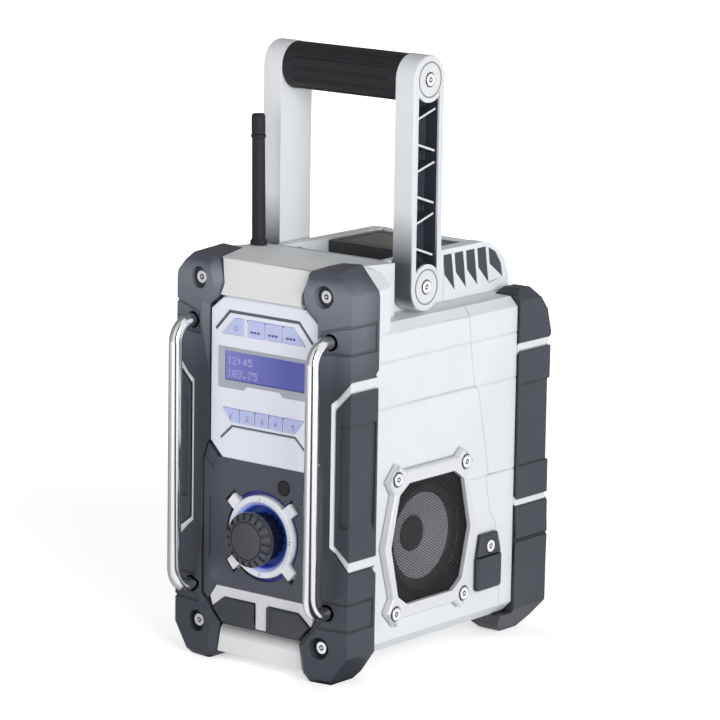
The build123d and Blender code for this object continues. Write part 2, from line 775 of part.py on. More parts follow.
def hinge_ears():
    ears = block(knuckle_half + slip, knuckle_half + slip + ear_length, wall_back - hinge_radius - 1.8,
                 hinge_y, hinge_height - hinge_radius - 1.5, hinge_height + hinge_radius)
    ears += rod_x(hinge_y, hinge_height, hinge_radius, knuckle_half + slip, knuckle_half + slip + ear_length)
    ears -= rod_x(hinge_y, hinge_height, hinge_pin_radius, 0, bay_half)
    return ears + mirrored(ears)


# ================================================================ rubber corners and bumpers
def groove_band(z0, z1, z0_inner, z1_inner, y_end):
    """A groove line around one front corner, across its front and round to its side."""
    depth = line_depth
    half = corner_groove / 2
    left = bar_x - 6.4
    bend = half_guard - corner_groove
    cuts = []
    for inner, outer in ((z0_inner, z0), (z1_inner, z1)):
        outline = [(left, inner + half), (bend, outer + half), (half_guard + 1, outer + half),
                   (half_guard + 1, outer - half), (bend, outer - half), (left, inner - half)]
        cuts.append(face_line(prism_y(outline, -3, depth)))
        cuts.append(block(half_guard - depth, half_guard + 1, front - 1, y_end, outer - half, outer + half))
    upright = block(left - half, left + half, -3, depth, z0_inner - half, z1_inner + half)
    cuts.append(face_line(upright))
    cuts.append(block(half_guard - depth, half_guard + 1, y_end - corner_groove, y_end, z0 - half, z1 + half))
    return cuts


def face_line(shape):
    """Lays a groove, drawn at its true x, on the tilted front face of the right corners."""
    return corner_face(Pos(-corner_inner_x, 0, 0) * shape)


def guards():
    guard = prism_y(front_guard_outline(), front - corner_proud - 2, wrap_front)
    guard &= prism_x(front_side_profile(), 0, half_guard + 1)
    guard &= corner_front()
    guard &= corner_chamfer()
    guard -= strip_cut()
    guard -= nose_core(wall_front, wrap_front + 1)
    for end in (notch_top[1] - 1, notch_bottom[1] + 1):
        away = 1 if end > notch_bottom[1] + 1 else -1
        corner = [(wrap_front - 5, end), (wrap_front + 1, end + 6 * away), (wrap_front + 1, end)]
        guard -= prism_x(corner, nose_half, half_guard + 1)
    for z in (guard_screw_top, guard_screw_bottom):
        guard -= rod_y(guard_screw_x, z, counterbore_radius, front - 10, front + counterbore_depth)
        guard -= rod_y(guard_screw_x, z, screw_shank_radius, front - 1, wall_front + 1)
    for z in (bar_top, bar_bottom):
        guard -= rod_y(bar_x, z, bar_radius, front - 10, wall_front + 1)
        guard -= rod_y(bar_x, z, bar_radius + 1.0, front - 10, front + 3.0)
    upper = groove_band(bar_top - 7.4, bar_top + 12.4, bar_top - 8.5, bar_top + 6.8, wrap_front - 3)
    lower = groove_band(bar_bottom - 12, bar_bottom + 8, bar_bottom - 12, bar_bottom + 8, wrap_front - 3)
    for cut in upper + lower:
        guard -= cut
    add("front_guard_right", guard)
    add("front_guard_left", mirrored(guard))

    guard = prism_y(rear_guard_outline(), wrap_back - 30, back)
    guard &= prism_x(rear_side_profile(), 0, half_guard + 1)
    guard -= tail_core(wrap_back - 31, wall_back)
    line = rear_notch_bottom[1] - 25.5
    guard -= block(half_guard - line_depth, half_guard + 1, wrap_back - 1, back + 1, line - corner_groove / 2,
                   line + corner_groove / 2)
    add("rear_guard_right", guard)
    add("rear_guard_left", mirrored(guard))


def bumpers():
    relief = half_guard - pad_relief
    low_step, high_step = pad_bottom[0] + 14.2, pad_top[0] - 10.0
    pad = prism_y(bumper_outline(pad_inner, pad_top, pad_bottom, 0), front + pad_face, wrap_front)
    pad -= nose_core(wall_front, wrap_front + 1)
    step = [(relief, high_step), (relief, low_step), (half_guard, low_step - 5),
            (half_guard + 2, low_step - 5), (half_guard + 2, high_step)]
    pad -= prism_y(step, front - 1, wrap_front - 2.5)
    pad -= block(pad_inner + 3.5, half_guard + 1, front, front + pad_face + pad_relief, low_step, high_step)
    add("front_bumper_right", pad)
    add("front_bumper_left", mirrored(pad))

    low_step, high_step = rear_pad_bottom[0] + 11.7, rear_pad_top[0] - 12.0
    face = back - pad_face
    pad = prism_y(bumper_outline(rear_pad_inner, rear_pad_top, rear_pad_bottom, 0), wrap_back, face)
    pad -= tail_core(wrap_back - 1, wall_back)
    pad -= block(relief, half_guard + 1, wrap_back + 2.5, back, low_step, high_step)
    pad -= block(rear_pad_inner + 3.5, half_guard + 1, face - pad_relief, back, low_step, high_step)
    add("rear_bumper_right", pad)
    add("rear_bumper_left", mirrored(pad))


# ================================================================ front plate, panels and keys
def top_front_plate():
    edge = panel_half - 3.2
    low = display_top + slip
    profile = [(wall_front - 5.6, low), (front - 3, display_top + 2.5), (front + 4, case_top - 2),
               (wrap_front, case_top + 0.8), (wrap_front, nose_top), (wall_front, nose_top),
               (wall_front, low)]
    plate = prism_x(profile, -edge, edge)
    outline = both_ways([(edge, case_top + 5), (edge, guard_top - 0.9), (panel_half - 8.5, guard_top - 4.8),
                         (panel_half - 13.9, guard_top - 21.7), (panel_half - 12.6, display_top + 2.9),
                         (panel_half - 14.7, low)])
    plate &= prism_y(outline, front - 10, wrap_front)
    add("top_front_plate", plate)


def display_outline():
    half, corner = panel_half, display_corner
    return both_ways([(half - corner, display_top), (half, display_top - corner + 2),
                      (half, display_bottom + corner), (half - corner, display_bottom)])


def keys():
    """Outlines of the nine keys: four function keys and five presets, as (x, z) points."""
    low, high = key_row_bottom, key_row_top
    outer = lcd_half + 1.0
    slope = 11.0
    pitch = key_width + key_gap
    last = outer - 19.6
    second = last - 2 * pitch
    first = second - 4.5
    function_rows = [[(-outer, low), (first, low), (first, high), (slope - outer, high)]]
    for left in (second, second + pitch):
        right = left + key_width
        function_rows.append([(left, low), (right, low), (right, high), (left, high)])
    function_rows.append([(last, low), (outer, low), (outer - slope, high), (last, high)])
    high = preset_row_top
    low = high - preset_row_height
    outer = lcd_half + 0.3
    edges = [(-outer, -22.5), (-20.9, -8.0), (-6.4, 5.0), (6.6, 18.2), (19.8, outer)]
    preset_rows = [[(left, low), (right, low), (right, high), (left, high)] for left, right in edges]
    slope = 8.0
    preset_rows[0][0] = (slope - outer, low)
    preset_rows[-1][1] = (outer - slope, low)
    return function_rows, preset_rows


def grown(outline, amount, y0, y1):
    """A key outline drawn out along Y and offset sideways by amount."""
    face = make_face(Polyline(*[(x, z) for x, z in outline], close=True))
    if amount:
        face = offset(face, amount, kind=Kind.INTERSECTION)
    return Pos(0, y1, 0) * Rot(90, 0, 0) * extrude(face, amount=y1 - y0)


def key_flange(outline, clearance, y0, y1):
    """The wider foot that keeps a key in the panel, reaching above and below the key."""
    left = min(x for x, z in outline) - clearance
    right = max(x for x, z in outline) + clearance
    low = min(z for x, z in outline) - button_flange - clearance
    high = max(z for x, z in outline) + button_flange + clearance
    return block(left, right, y0, y1, low, high)


def key_solid(outline):
    cap = grown(outline, 0, display_face - button_proud, flange_face)
    return cap + key_flange(outline, 0, flange_face - flange_thickness, flange_face)


def hex_groove(points):
    """A fine groove in the display panel's face along an open line."""
    groove = None
    for (x0, z0), (x1, z1) in zip(points, points[1:]):
        length = math.hypot(x1 - x0, z1 - z0)
        angle = math.degrees(math.atan2(z1 - z0, x1 - x0))
        piece = Pos((x0 + x1) / 2, display_face, (z0 + z1) / 2) * Rot(0, -angle, 0) * Box(
            length + groove_width * 0.6, groove_depth * 2, groove_width)
        groove = piece if groove is None else groove + piece
    return groove


def display():
    panel = prism_y(display_outline(), display_face, wall_front)
    panel = chamfer(panel.faces().sort_by(Axis.Y)[0].edges(), 0.8)
    function_rows, preset_rows = keys()
    for outline in function_rows + preset_rows:
        panel -= grown(outline, slip, display_face - 2, wall_front + 1)
        panel -= key_flange(outline, slip, wall_front - flange_thickness - 0.5, wall_front + 1)
    panel -= lcd_mouth()
    panel -= lcd_block(0, display_face - 1, wall_front + 1)
    panel -= lcd_block(lens_margin + 0.2, display_face + lcd_recess, wall_front + 1)
    apex, foot = panel_half - 17.7, panel_half - 4.7
    low, high = key_row_bottom + 2.5, key_row_top + 4.3
    panel -= hex_groove([(-foot, low), (-apex, high), (apex, high), (foot, low)])
    apex, foot = panel_half - 20.5, panel_half - 9.8
    preset_bottom = preset_row_top - preset_row_height
    low, high = preset_bottom - 13.0, preset_bottom - 3.2
    panel -= hex_groove([(-foot, low), (-apex, high), (apex, high), (foot, low)])
    add("display_panel", panel)
    module_front = display_face + lcd_recess + lens_thickness
    add("lcd_lens", lcd_block(lens_margin, display_face + lcd_recess, module_front))
    add("lcd_module", lcd_block(lens_margin, module_front, cavity_front))
    for number, outline in enumerate(function_rows, 1):
        add(f"function_button_{number}", key_solid(outline))
    for number, outline in enumerate(preset_rows, 1):
        add(f"preset_button_{number}", key_solid(outline))
    add("button_board", button_board(function_rows + preset_rows))


def lcd_block(margin, y0, y1):
    """A block behind the screen's window, larger than the window by a margin."""
    return slab(lcd_half + margin, y0, y1, lcd_bottom - margin, lcd_top + margin)


def lcd_mouth():
    """The shallow recess around the window, with a raised notch in its lower edge."""
    half = lcd_half + lcd_border
    low, high = lcd_bottom - lcd_border, lcd_top + 3.1
    notch = low + 3.2
    outline = [(-half, low), (-18.9, low), (-15.5, notch), (14.5, notch), (17.9, low), (half, low),
               (half, high), (-half, high)]
    return prism_y(outline, display_face - 1, display_face + 1.0)


def button_board(outlines):
    """Circuit board with a short dome switch behind every key."""
    rear = cavity_front + board_thickness
    mute_margin = mute_radius + 3.7
    board = slab(panel_half - 4.0, cavity_front, rear, display_bottom + 8, display_top - 8)
    board += block(mute_x - mute_margin, mute_x + mute_margin, cavity_front, rear, mute_height - mute_margin,
                   display_bottom + 9)
    dome_front = flange_face + button_travel + 0.2
    for outline in outlines:
        x = sum(point[0] for point in outline) / len(outline)
        z = sum(point[1] for point in outline) / len(outline)
        board += rod_y(x, z, dome_radius, dome_front, cavity_front)
    return board + rod_y(mute_x, mute_height, dome_radius, dome_front, cavity_front)


def prongs(inner, reach, width, y0, y1):
    """Four diagonal bars about the dial's axis."""
    shape = None
    for angle in (prong_angle, 180 - prong_angle, 180 + prong_angle, -prong_angle):
        bar = Pos(0, (y0 + y1) / 2, dial_height) * Rot(0, -angle, 0) * Pos((inner + reach) / 2, 0, 0) * Box(
            reach - inner, y1 - y0, width)
        shape = bar if shape is None else shape + bar
    return shape


def control():
    upper = display_bottom - panel_gap
    outline = both_ways([(panel_half - 6.7, upper), (strip_inner + 2.4, ear_top - 3.1),
                         (control_half, control_corner), (control_half, port_top + 0.6),
                         (panel_half + 1.5, port_top - 4.0), (panel_half - 0.4, port_top - 1.2),
                         (panel_half - 6.4, port_top + trim_band + panel_gap)])
    panel = prism_y(outline, control_face, wall_front)
    panel -= rod_y(0, dial_height, dial_hole_radius, control_face - 1, wall_front + 1)
    panel -= prongs(ring_inner, prong_reach + prong_gap, prong_width + prong_gap, control_face - 1,
                    wall_front + 1)
    panel -= rod_y(mute_x, mute_height, mute_radius + slip + 0.2, control_face - 1, wall_front + 1)
    panel -= rod_y(mute_x, mute_height, mute_radius + 1.6, wall_front - 1.6, wall_front + 1)
    facet_x = dial_hole_radius + 5.4
    facet_outline = [(facet_x + 11.8, dial_height + 22.1), (facet_x, dial_height + 13.1),
                     (facet_x, dial_height - 13.9), (facet_x + 11.8, dial_height - 24.9)]
    facet = prism_y(facet_outline, control_face - 1, control_face + 1.0)
    wedge_outline = [(panel_half + 4.0, ear_top - 1.5), (panel_half + 10.0, control_corner + 0.2),
                     (control_half, control_corner), (panel_half - 3.0, control_corner - 8.7),
                     (panel_half - 6.5, upper), (panel_half, ear_top - 1.5)]
    wedge = prism_y(wedge_outline, control_face - 1, control_face + 0.9)
    panel -= facet + mirrored(facet) + wedge + mirrored(wedge)
    add("control_panel", panel)

    light_front = wall_front - 3.0
    light = rod_y(0, dial_height, dial_hole_radius - 0.2, light_front, wall_front)
    light -= rod_y(0, dial_height, ring_inner - 1.0, light_front - 1, wall_front + 1)
    add("light_ring", light)

    profile = [(ring_inner, light_front), (ring_inner, ring_face + 2.6), (ring_inner + 3.0, ring_face),
               (ring_outer - 1, ring_face), (ring_outer, ring_face + 1), (ring_outer, light_front)]
    ring = turned_y(profile, 0, dial_height)
    tabs = prongs(ring_inner + 4, prong_reach, prong_width, ring_face + 1.0, light_front)
    ring += tabs & (rod_y(0, dial_height, prong_reach + 0.2, front - 10, wall_front)
                    - rod_y(0, dial_height, ring_outer - 2, front - 10, wall_front))
    add("dial_ring", ring)

    bush_front = wall_front + 0.2
    encoder = block(-8, 8, cavity_front, cavity_front + 9, dial_height - 8, dial_height + 8)
    encoder += rod_y(0, dial_height, bush_radius, bush_front, cavity_front)
    encoder -= rod_y(0, dial_height, shaft_radius + running, bush_front - 1, cavity_front + 7)
    add("encoder", encoder)
    shaft_front = knob_face + 6.5
    shaft = rod_y(0, dial_height, shaft_radius, shaft_front, cavity_front + 7 - push_travel - slip)
    add("encoder_shaft", shaft)

    root = wall_front - 1.6
    profile = [(0, knob_face), (knob_disc_radius, knob_face), (knob_disc_radius + 0.5, knob_face + 0.5),
               (knob_radius - 2.2, knob_face + 0.7), (knob_radius, knob_face + 2.6),
               (knob_radius, knob_face + 7.4), (knob_radius - 1.3, knob_face + 8.6), (knob_root_radius, root),
               (0, root)]
    knob = turned_y(profile, 0, dial_height)
    knob -= rod_y(0, dial_height, shaft_radius + running, shaft_front - slip, root + 1)
    flute_front = knob_face + 9.4
    for index in range(knob_flutes):
        angle = 360 / knob_flutes * index
        turn = Pos(0, 0, dial_height) * Rot(0, angle, 0)
        flute_y = (flute_front + root) / 2
        flute = Rot(90, 0, 0) * Cylinder(2.6, root - flute_front + 0.01)
        knob -= turn * Pos(knob_radius + 1.2, flute_y, 0) * flute
        knob -= turn * Pos(knob_radius - 1.0, knob_face + 1.0, 0) * Box(2.6, 2.6, 1.6)
    add("volume_knob", knob)

    mute = rod_y(mute_x, mute_height, mute_radius, control_face - 0.8, flange_face)
    mute += rod_y(mute_x, mute_height, mute_radius + 1.0, wall_front - 1.2, flange_face)
    add("mute_button", mute)


# ================================================================ port row and sill
def port_cover_outline():
    top = port_top - panel_gap
    return [(port_inner, port_bottom), (port_inner, top), (port_outer - 11.2, top),
            (port_outer - 0.6, port_elbow), (port_outer - 9.3, port_bottom + 0.4),
            (port_outer - 9.8, port_bottom)]


def ports():
    top = port_top + trim_band
    outer = both_ways([(panel_half - 7.0, top), (panel_half - 0.8, port_top - 1.4),
                       (port_outer + 0.4, port_elbow + 0.7), (port_outer + slip, port_elbow + slip),
                       (port_outer - 11.2 + slip / 2, port_top)])
    trim = prism_y(outer, control_face - 0.4, wall_front)
    trim += slab(bridge_half, control_face - 0.4, wall_front, port_bottom, port_top + 0.5)
    add("port_trim", trim)
    cover = prism_y(port_cover_outline(), front - cover_proud, front - cover_proud + cover_thickness)
    cover = chamfer(cover.faces().sort_by(Axis.Y)[0].edges(), 0.9)
    plug_front = front - cover_proud + cover_thickness
    plug = block(jack_x - 8, jack_x + 8, plug_front, front + 5.0, jack_height - 4.5, jack_height + 5.0)
    cover += plug
    add("port_cover_right", cover)
    add("port_cover_left", mirrored(cover))
    block_front = front + 5.4
    board_front = cavity_front + 6
    low, high = jack_height - 6, jack_height + 6
    left_socket = block(-jack_x - 7, -jack_x + 7, block_front, board_front, low, high)
    left_socket -= rod_y(-jack_x, jack_height, jack_radius, block_front - 1, board_front - 2)
    right_socket = block(jack_x - 9, jack_x + 9, block_front, board_front, low, high)
    right_socket -= block(jack_x - usb_width / 2, jack_x + usb_width / 2, block_front - 1, board_front - 2,
                          jack_height - usb_height / 2, jack_height + usb_height / 2)
    edge = port_outer - 6.2
    board_bottom = port_bottom - 2.6
    board = slab(edge, board_front, board_front + board_thickness, board_bottom, port_top + 1)
    foot = block(edge - 4, edge, cavity_front, board_front, board_bottom, board_bottom + 3.5)
    add("front_ports", left_socket + right_socket + board + foot + mirrored(foot))
    outline = both_ways([(sill_half_top, sill_top), (sill_half_bottom, sill_bottom)])
    sill = prism_y(outline, front + 0.2, wall_front)
    sill = chamfer(sill.edges().filter_by(Axis.X).group_by(Axis.Y)[0].sort_by(Axis.Z)[-1], 2.2)
    add("front_sill", sill)


# ================================================================ guard bars
def guard_bars():
    axis_y = front - bar_standoff
    path = FilletPolyline((bar_x, bar_root, bar_top), (bar_x, axis_y, bar_top), (bar_x, axis_y, bar_bottom),
                          (bar_x, bar_root, bar_bottom), radius=bar_bend)
    start = Plane(origin=(bar_x, bar_root, bar_top), z_dir=(0, -1, 0))
    bar = sweep(start * Circle(bar_radius), path=path)
    add("guard_bar_right", bar)
    add("guard_bar_left", mirrored(bar))


# ================================================================ speakers
def frame_outline():
    """Outline of the speaker frame as (y, z), with a lug at each corner."""
    lug = frame_half_height - 11.8
    upper = [(frame_half - 22.7, frame_half_height - 5.8), (frame_half - 15.7, frame_half_height),
             (frame_half - 4.2, lug), (frame_half - 10.7, lug - 10.0)]
    right = upper + [(frame_half, 0.0)] + [(y, -z) for y, z in reversed(upper)]
    return [(speaker_y + y, speaker_height + z) for y, z in right + [(-y, -z) for y, z in right]]


def mouth_outline(shrink):
    half, top = frame_half - 7.2, frame_half_height - 15.3
    right = [(half - 20.0, top - shrink), (half - 9.0 - shrink, top - 7.5), (half - shrink, 0.0),
             (half - 9.0 - shrink, 7.5 - top), (half - 20.0, shrink - top)]
    return [(speaker_y + y, speaker_height + z) for y, z in right + [(-y, -z) for y, z in right]]


def speakers():
    face = half_case + frame_thickness
    ring = prism_x(frame_outline(), half_case, face)
    ring -= prism_x(mouth_outline(0), half_case - 1, face + 1)
    ring -= prism_x(mouth_outline(-1.6), half_case - 1, half_case + 2.0)
    ring = chamfer(ring.faces().sort_by(Axis.X)[-1].outer_wire().edges(), 1.0)
    for y, z in speaker_screw_points():
        ring -= rod_x(y, z, screw_head_radius + 1.2, face - head_recess, face + 1)
        ring -= rod_x(y, z, screw_shank_radius, half_case - 1, face + 1)
    grille = prism_x(mouth_outline(-1.5), half_case + 1.0, half_case + 1.0 + grille_thickness)
    inner_face = half_case - wall
    flange_back = inner_face - flange_depth
    flange = [(flange_back, flange_radius), (inner_face, flange_radius), (inner_face, surround_radius),
              (inner_face - 1.5, cone_radius + slip), (flange_back, cone_radius + slip)]
    driver = turned_x(flange, speaker_y, speaker_height)
    basket_end = inner_face - cone_depth - 7.0
    basket = [(flange_back, surround_radius), (flange_back, surround_radius - 2),
              (basket_end, magnet_radius - 3), (basket_end, magnet_radius)]
    driver += turned_x(basket, speaker_y, speaker_height)
    driver += rod_x(speaker_y, speaker_height, magnet_radius, basket_end - magnet_depth, basket_end)
    rim_x = inner_face - 0.8
    cone_back = rim_x - cone_depth
    profile = [(rim_x, cone_radius), (rim_x - cone_thickness, cone_radius), (cone_back, cap_radius - 1.2),
               (cone_back, 0), (cone_back + 3.5, 0), (cone_back + 3.0, cap_radius - 7.0),
               (cone_back + 1.4, cap_radius - 0.5)]
    cone = turned_x(profile, speaker_y, speaker_height)
    for name, shape in (("speaker_frame", ring), ("speaker_grille", grille), ("speaker_driver", driver),
                        ("speaker_cone", cone)):
        add(f"{name}_right", shape)
        add(f"{name}_left", mirrored(shape))


# ================================================================ power socket
def power_socket():
    out = half_case + dc_cover_thickness
    low = dc_hinge_height + 0.4
    anchor = prism_x([(dc_y - dc_cover_half + 4.2, dc_cover_top), (dc_y + dc_cover_half - 5.4, dc_cover_top),
                      (dc_y + dc_cover_half - 0.6, low), (dc_y - dc_cover_half + 0.6, low)], half_case, out)
    anchor = chamfer(anchor.faces().sort_by(Axis.X)[-1].edges(), 1.2)
    anchor -= rod_x(dc_y, dc_screw_height, screw_head_radius + 0.9, out - head_recess, out + 1)
    anchor -= rod_x(dc_y, dc_screw_height, screw_shank_radius, half_case - 1, out + 1)
    add("dc_cover_anchor", anchor)
    flap = block(half_case + slip, out - 0.2, dc_y - dc_cover_half, dc_y + dc_cover_half, dc_cover_bottom,
                 dc_hinge_height - 0.1)
    flap = fillet(flap.edges().filter_by(Axis.X).group_by(Axis.Z)[0], 3.0)
    flap = chamfer(flap.faces().sort_by(Axis.X)[-1].edges(), 0.9)
    add("dc_cover_flap", flap)
    jack_front = half_case - 1.0
    jack_back = jack_front - 14.0
    jack = rod_x(dc_y, dc_height, dc_bore_radius + 2.8, jack_back, jack_front)
    jack += block(jack_back, half_case - wall, dc_y - 8, dc_y + 8, dc_height - 8, dc_height + 8)
    jack -= rod_x(dc_y, dc_height, dc_bore_radius, jack_back + 3, jack_front + 1)
    jack += rod_x(dc_y, dc_height, dc_pin_radius, jack_back + 2, jack_front - 1)
    add("dc_jack", jack)


# ================================================================ handle
def arm_ribs():
    """The zigzag ribs in the arm's outer pocket, as pairs of (y, z) ends measured from the pivot."""
    left, right = -13.0, 4.5
    heights = [(122.3, 127.6), (105.1, 99.7), (84.5, 89.0), (67.4, 61.8), (46.6, 51.6), (29.7, 23.8)]
    return [((left, a), (right, b)) for a, b in heights]


def arm_window():
    """The pocket in an arm's outer face, with its ribs left standing."""
    middle = pivot_y + arm_window_shift
    near, far = middle - arm_window_half, middle + arm_window_half
    window = block(arm_outer - arm_window_depth, arm_outer + 1, near, far, pivot_height + arm_window_half,
                   grip_height - arm_window_half)
    for z in (pivot_height, grip_height):
        window -= rod_x(pivot_y, z, arm_window_end, arm_outer - arm_window_depth - 1, arm_outer + 2)
    room = block(arm_inner, arm_outer - 1.6, near, far, pivot_height, grip_height)
    for (y0, z0), (y1, z1) in arm_ribs():
        length = math.hypot(y1 - y0, z1 - z0)
        angle = math.degrees(math.atan2(z1 - z0, y1 - y0))
        place = Pos(arm_outer - arm_window_depth / 2, pivot_y + (y0 + y1) / 2, pivot_height + (z0 + z1) / 2)
        rib = place * Rot(angle, 0, 0) * Box(arm_window_depth + 2, length + 9, arm_rib)
        window -= rib & room
    return window


def handle():
    arm = rod_x(pivot_y, pivot_height, arm_radius, arm_inner, arm_outer)
    arm += rod_x(pivot_y, grip_height, arm_radius, arm_inner, arm_outer)
    arm += block(arm_inner, arm_outer, pivot_y - arm_radius, pivot_y + arm_radius, pivot_height, grip_height)
    arm = fillet(arm.faces().sort_by(Axis.X)[-1].edges(), arm_edge)
    arm -= arm_window()
    head_seat = arm_outer - head_recess
    for z in (pivot_height, grip_height):
        arm -= rod_x(pivot_y, z, 13.0, arm_outer - 0.5, arm_outer + 1) - rod_x(
            pivot_y, z, 12.3, arm_outer - 1, arm_outer + 2)
        arm -= rod_x(pivot_y, z, screw_head_radius + 0.8, head_seat, arm_outer + 1)
    arm += rod_x(pivot_y, pivot_height, spigot_radius, arm_inner - spigot_length, arm_inner)
    arm += rod_x(pivot_y, grip_height, grip_core_radius, arm_inner - 12, arm_inner)
    screws = None
    for z in (pivot_height, grip_height):
        arm -= rod_x(pivot_y, z, screw_shank_radius, head_seat - screw_length, arm_outer + 1)
        for side in (1, -1):
            screw = screw_x(side * head_seat, pivot_y, z, side)
            screws = screw if screws is None else screws + screw
    add("handle_arm_right", arm)
    add("handle_arm_left", mirrored(arm))
    add("handle_screws", screws)
    grip = rod_x(pivot_y, grip_height, grip_radius, -arm_inner, arm_inner)
    grip -= rod_x(pivot_y, grip_height, grip_core_radius, -arm_inner - 1, arm_inner + 1)
    for angle in range(0, 360, 30):
        y = pivot_y + (grip_radius + 0.4) * math.cos(math.radians(angle))
        z = grip_height + (grip_radius + 0.4) * math.sin(math.radians(angle))
        grip -= rod_x(y, z, 1.3, -arm_inner + 9, arm_inner - 9)
    add("handle_grip", grip)


# ================================================================ antenna
def antenna():
    r = antenna_radius
    length = antenna_length
    profile = [(0, -antenna_root), (antenna_stem, -antenna_root), (antenna_stem, 0.6), (r + 1.2, 0.6),
               (r + 1.2, 3.0), (r, 5.0), (r - 0.3, length - 18), (r + 0.4, length - 17.4),
               (r + 0.4, length - 15.4), (r - 0.4, length - 15.0), (r, length - 14.2), (r, length - 1.5),
               (r - 1.0, length), (0, length)]
    outline = make_face(Polyline(*[(x, 0, z) for x, z in profile], close=True))
    rod = revolve(outline, axis=Axis.Z)
    level = rail_top + (case_top - rail_top) * (antenna_y - finger_front) / (wrap_front - finger_front)
    add("antenna", Pos(antenna_x, antenna_y, level) * Rot(0, -antenna_lean, 0) * rod)


# ================================================================ latch, door and battery bay
def latch():
    plate = slab(latch_half, latch_front + slip, latch_back - 1.6, latch_top - latch_thickness, latch_top)
    lip = slab(latch_half, latch_front + slip, latch_front + latch_lip, latch_top - 9.0, latch_top)
    shape = plate + lip
    shape += rod_x(latch_axis_y, latch_axis_z, 2.6, -latch_half, latch_half)
    count = int((latch_half - 3.0) / latch_rib_pitch)
    for index in range(-count, count + 1):
        x = index * latch_rib_pitch
        shape -= block(x - 0.9, x + 0.9, latch_front + 7, latch_back - 6, latch_top - 1.0, latch_top + 1)
    for side in (1, -1):
        shape += rod_x(latch_axis_y, latch_axis_z, latch_pin_radius, side * (latch_half - 1),
                       side * (latch_half + latch_gap + latch_pin_reach))
    add("battery_latch", shape)


def battery_door():
    half = bay_half - door_gap
    face = door_face
    low = hinge_height + hinge_radius + 0.6
    panel = slab(half, face - door_thickness, face, low, bay_top + 4)
    panel = chamfer(panel.faces().sort_by(Axis.Y)[-1].edges(), 1.0)
    for step in range(int((bay_top - bay_bottom - 60.0) / door_rib_pitch) + 1):
        z = bay_bottom + 42.0 + step * door_rib_pitch
        panel -= slab(half - 14, face - 0.9, face + 1, z - 1, z + 1)
    roof_half = latch_half
    roof = upper_body(0.4, latch_back + 1.6, bay_top + 2, -roof_half, roof_half)
    roof -= upper_body(0.4 + door_thickness, latch_back - 30, bay_top - 2, -roof_half - 1, roof_half + 1)
    link = slab(roof_half, wall_back - 11.0, face - door_thickness + 0.5, bay_top + 1.0, bay_top + 4)
    knuckle = rod_x(hinge_y, hinge_height, hinge_radius, -knuckle_half, knuckle_half)
    knuckle += slab(knuckle_half, hinge_y, face - 0.2, hinge_height, low + 0.5)
    knuckle -= rod_x(hinge_y, hinge_height, hinge_pin_radius + running, -knuckle_half - 1, knuckle_half + 1)
    add("battery_door", panel + roof + link + knuckle)
    reach = knuckle_half + slip + ear_length
    add("door_hinge_pin", rod_x(hinge_y, hinge_height, hinge_pin_radius, -reach, reach))


def bay_contents():
    foot, head = bay_bottom + 102, bay_bottom + 167
    terminal = slab(36, bay_front, bay_front + 9, foot, head)
    for side in (1, -1):
        terminal += block(side * 27, side * 33, bay_front + 9, bay_front + 15, foot, head)
        terminal -= block(side * 29.5, side * 31.0, bay_front + 10, bay_front + 16, foot - 5, head - 6)
    for x in (-14, -4.7, 4.7, 14):
        terminal += block(x - 0.8, x + 0.8, bay_front + 9, bay_front + 14, foot + 8, foot + 26)
    add("battery_terminal", terminal)
    rear = bay_front - bay_wall
    board_front = rear - 9.0
    low = bay_bottom + 22
    board = slab(46, board_front, board_front + board_thickness, low, low + 140)
    for x in (-40, 40):
        for z in (low + 6, low + 134):
            board += rod_y(x, z, 3.0, board_front, rear)
    board += block(-38, -12, board_front - 22, board_front, low + 80, low + 120)
    board += block(6, 40, board_front - 14, board_front, low + 26, low + 36)
    board += rod_y(-24, low + 40, 8.0, board_front - 24, board_front)
    board += rod_y(-4, low + 58, 6.0, board_front - 18, board_front)
    add("main_board", board)


def case_screws():
    screws = None
    for x, z in guard_screw_points():
        screw = screw_y(x, front + counterbore_depth, z)
        screws = screw if screws is None else screws + screw
    for side in (1, -1):
        for y, z in speaker_screw_points():
            screws += screw_x(side * (half_case + frame_thickness - head_recess), y, z, side)
    screws += screw_x(half_case + dc_cover_thickness - head_recess, dc_y, dc_screw_height, 1)
    add("case_screws", screws)


# ================================================================ build and export
def build():
    housings()
    guards()
    bumpers()
    top_front_plate()
    display()
    control()
    ports()
    guard_bars()
    speakers()
    power_socket()
    handle()
    antenna()
    latch()
    battery_door()
    bay_contents()
    case_screws()


def main():
    build()
    os.makedirs("parts", exist_ok=True)
    shift = Pos(0, bar_reach / 2, 0)
    for name, shape in places.items():
        export_step(shift * shape, f"parts/{name}.step")


main()
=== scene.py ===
import json
import math

import bmesh
import bpy
from mathutils import Matrix, Vector


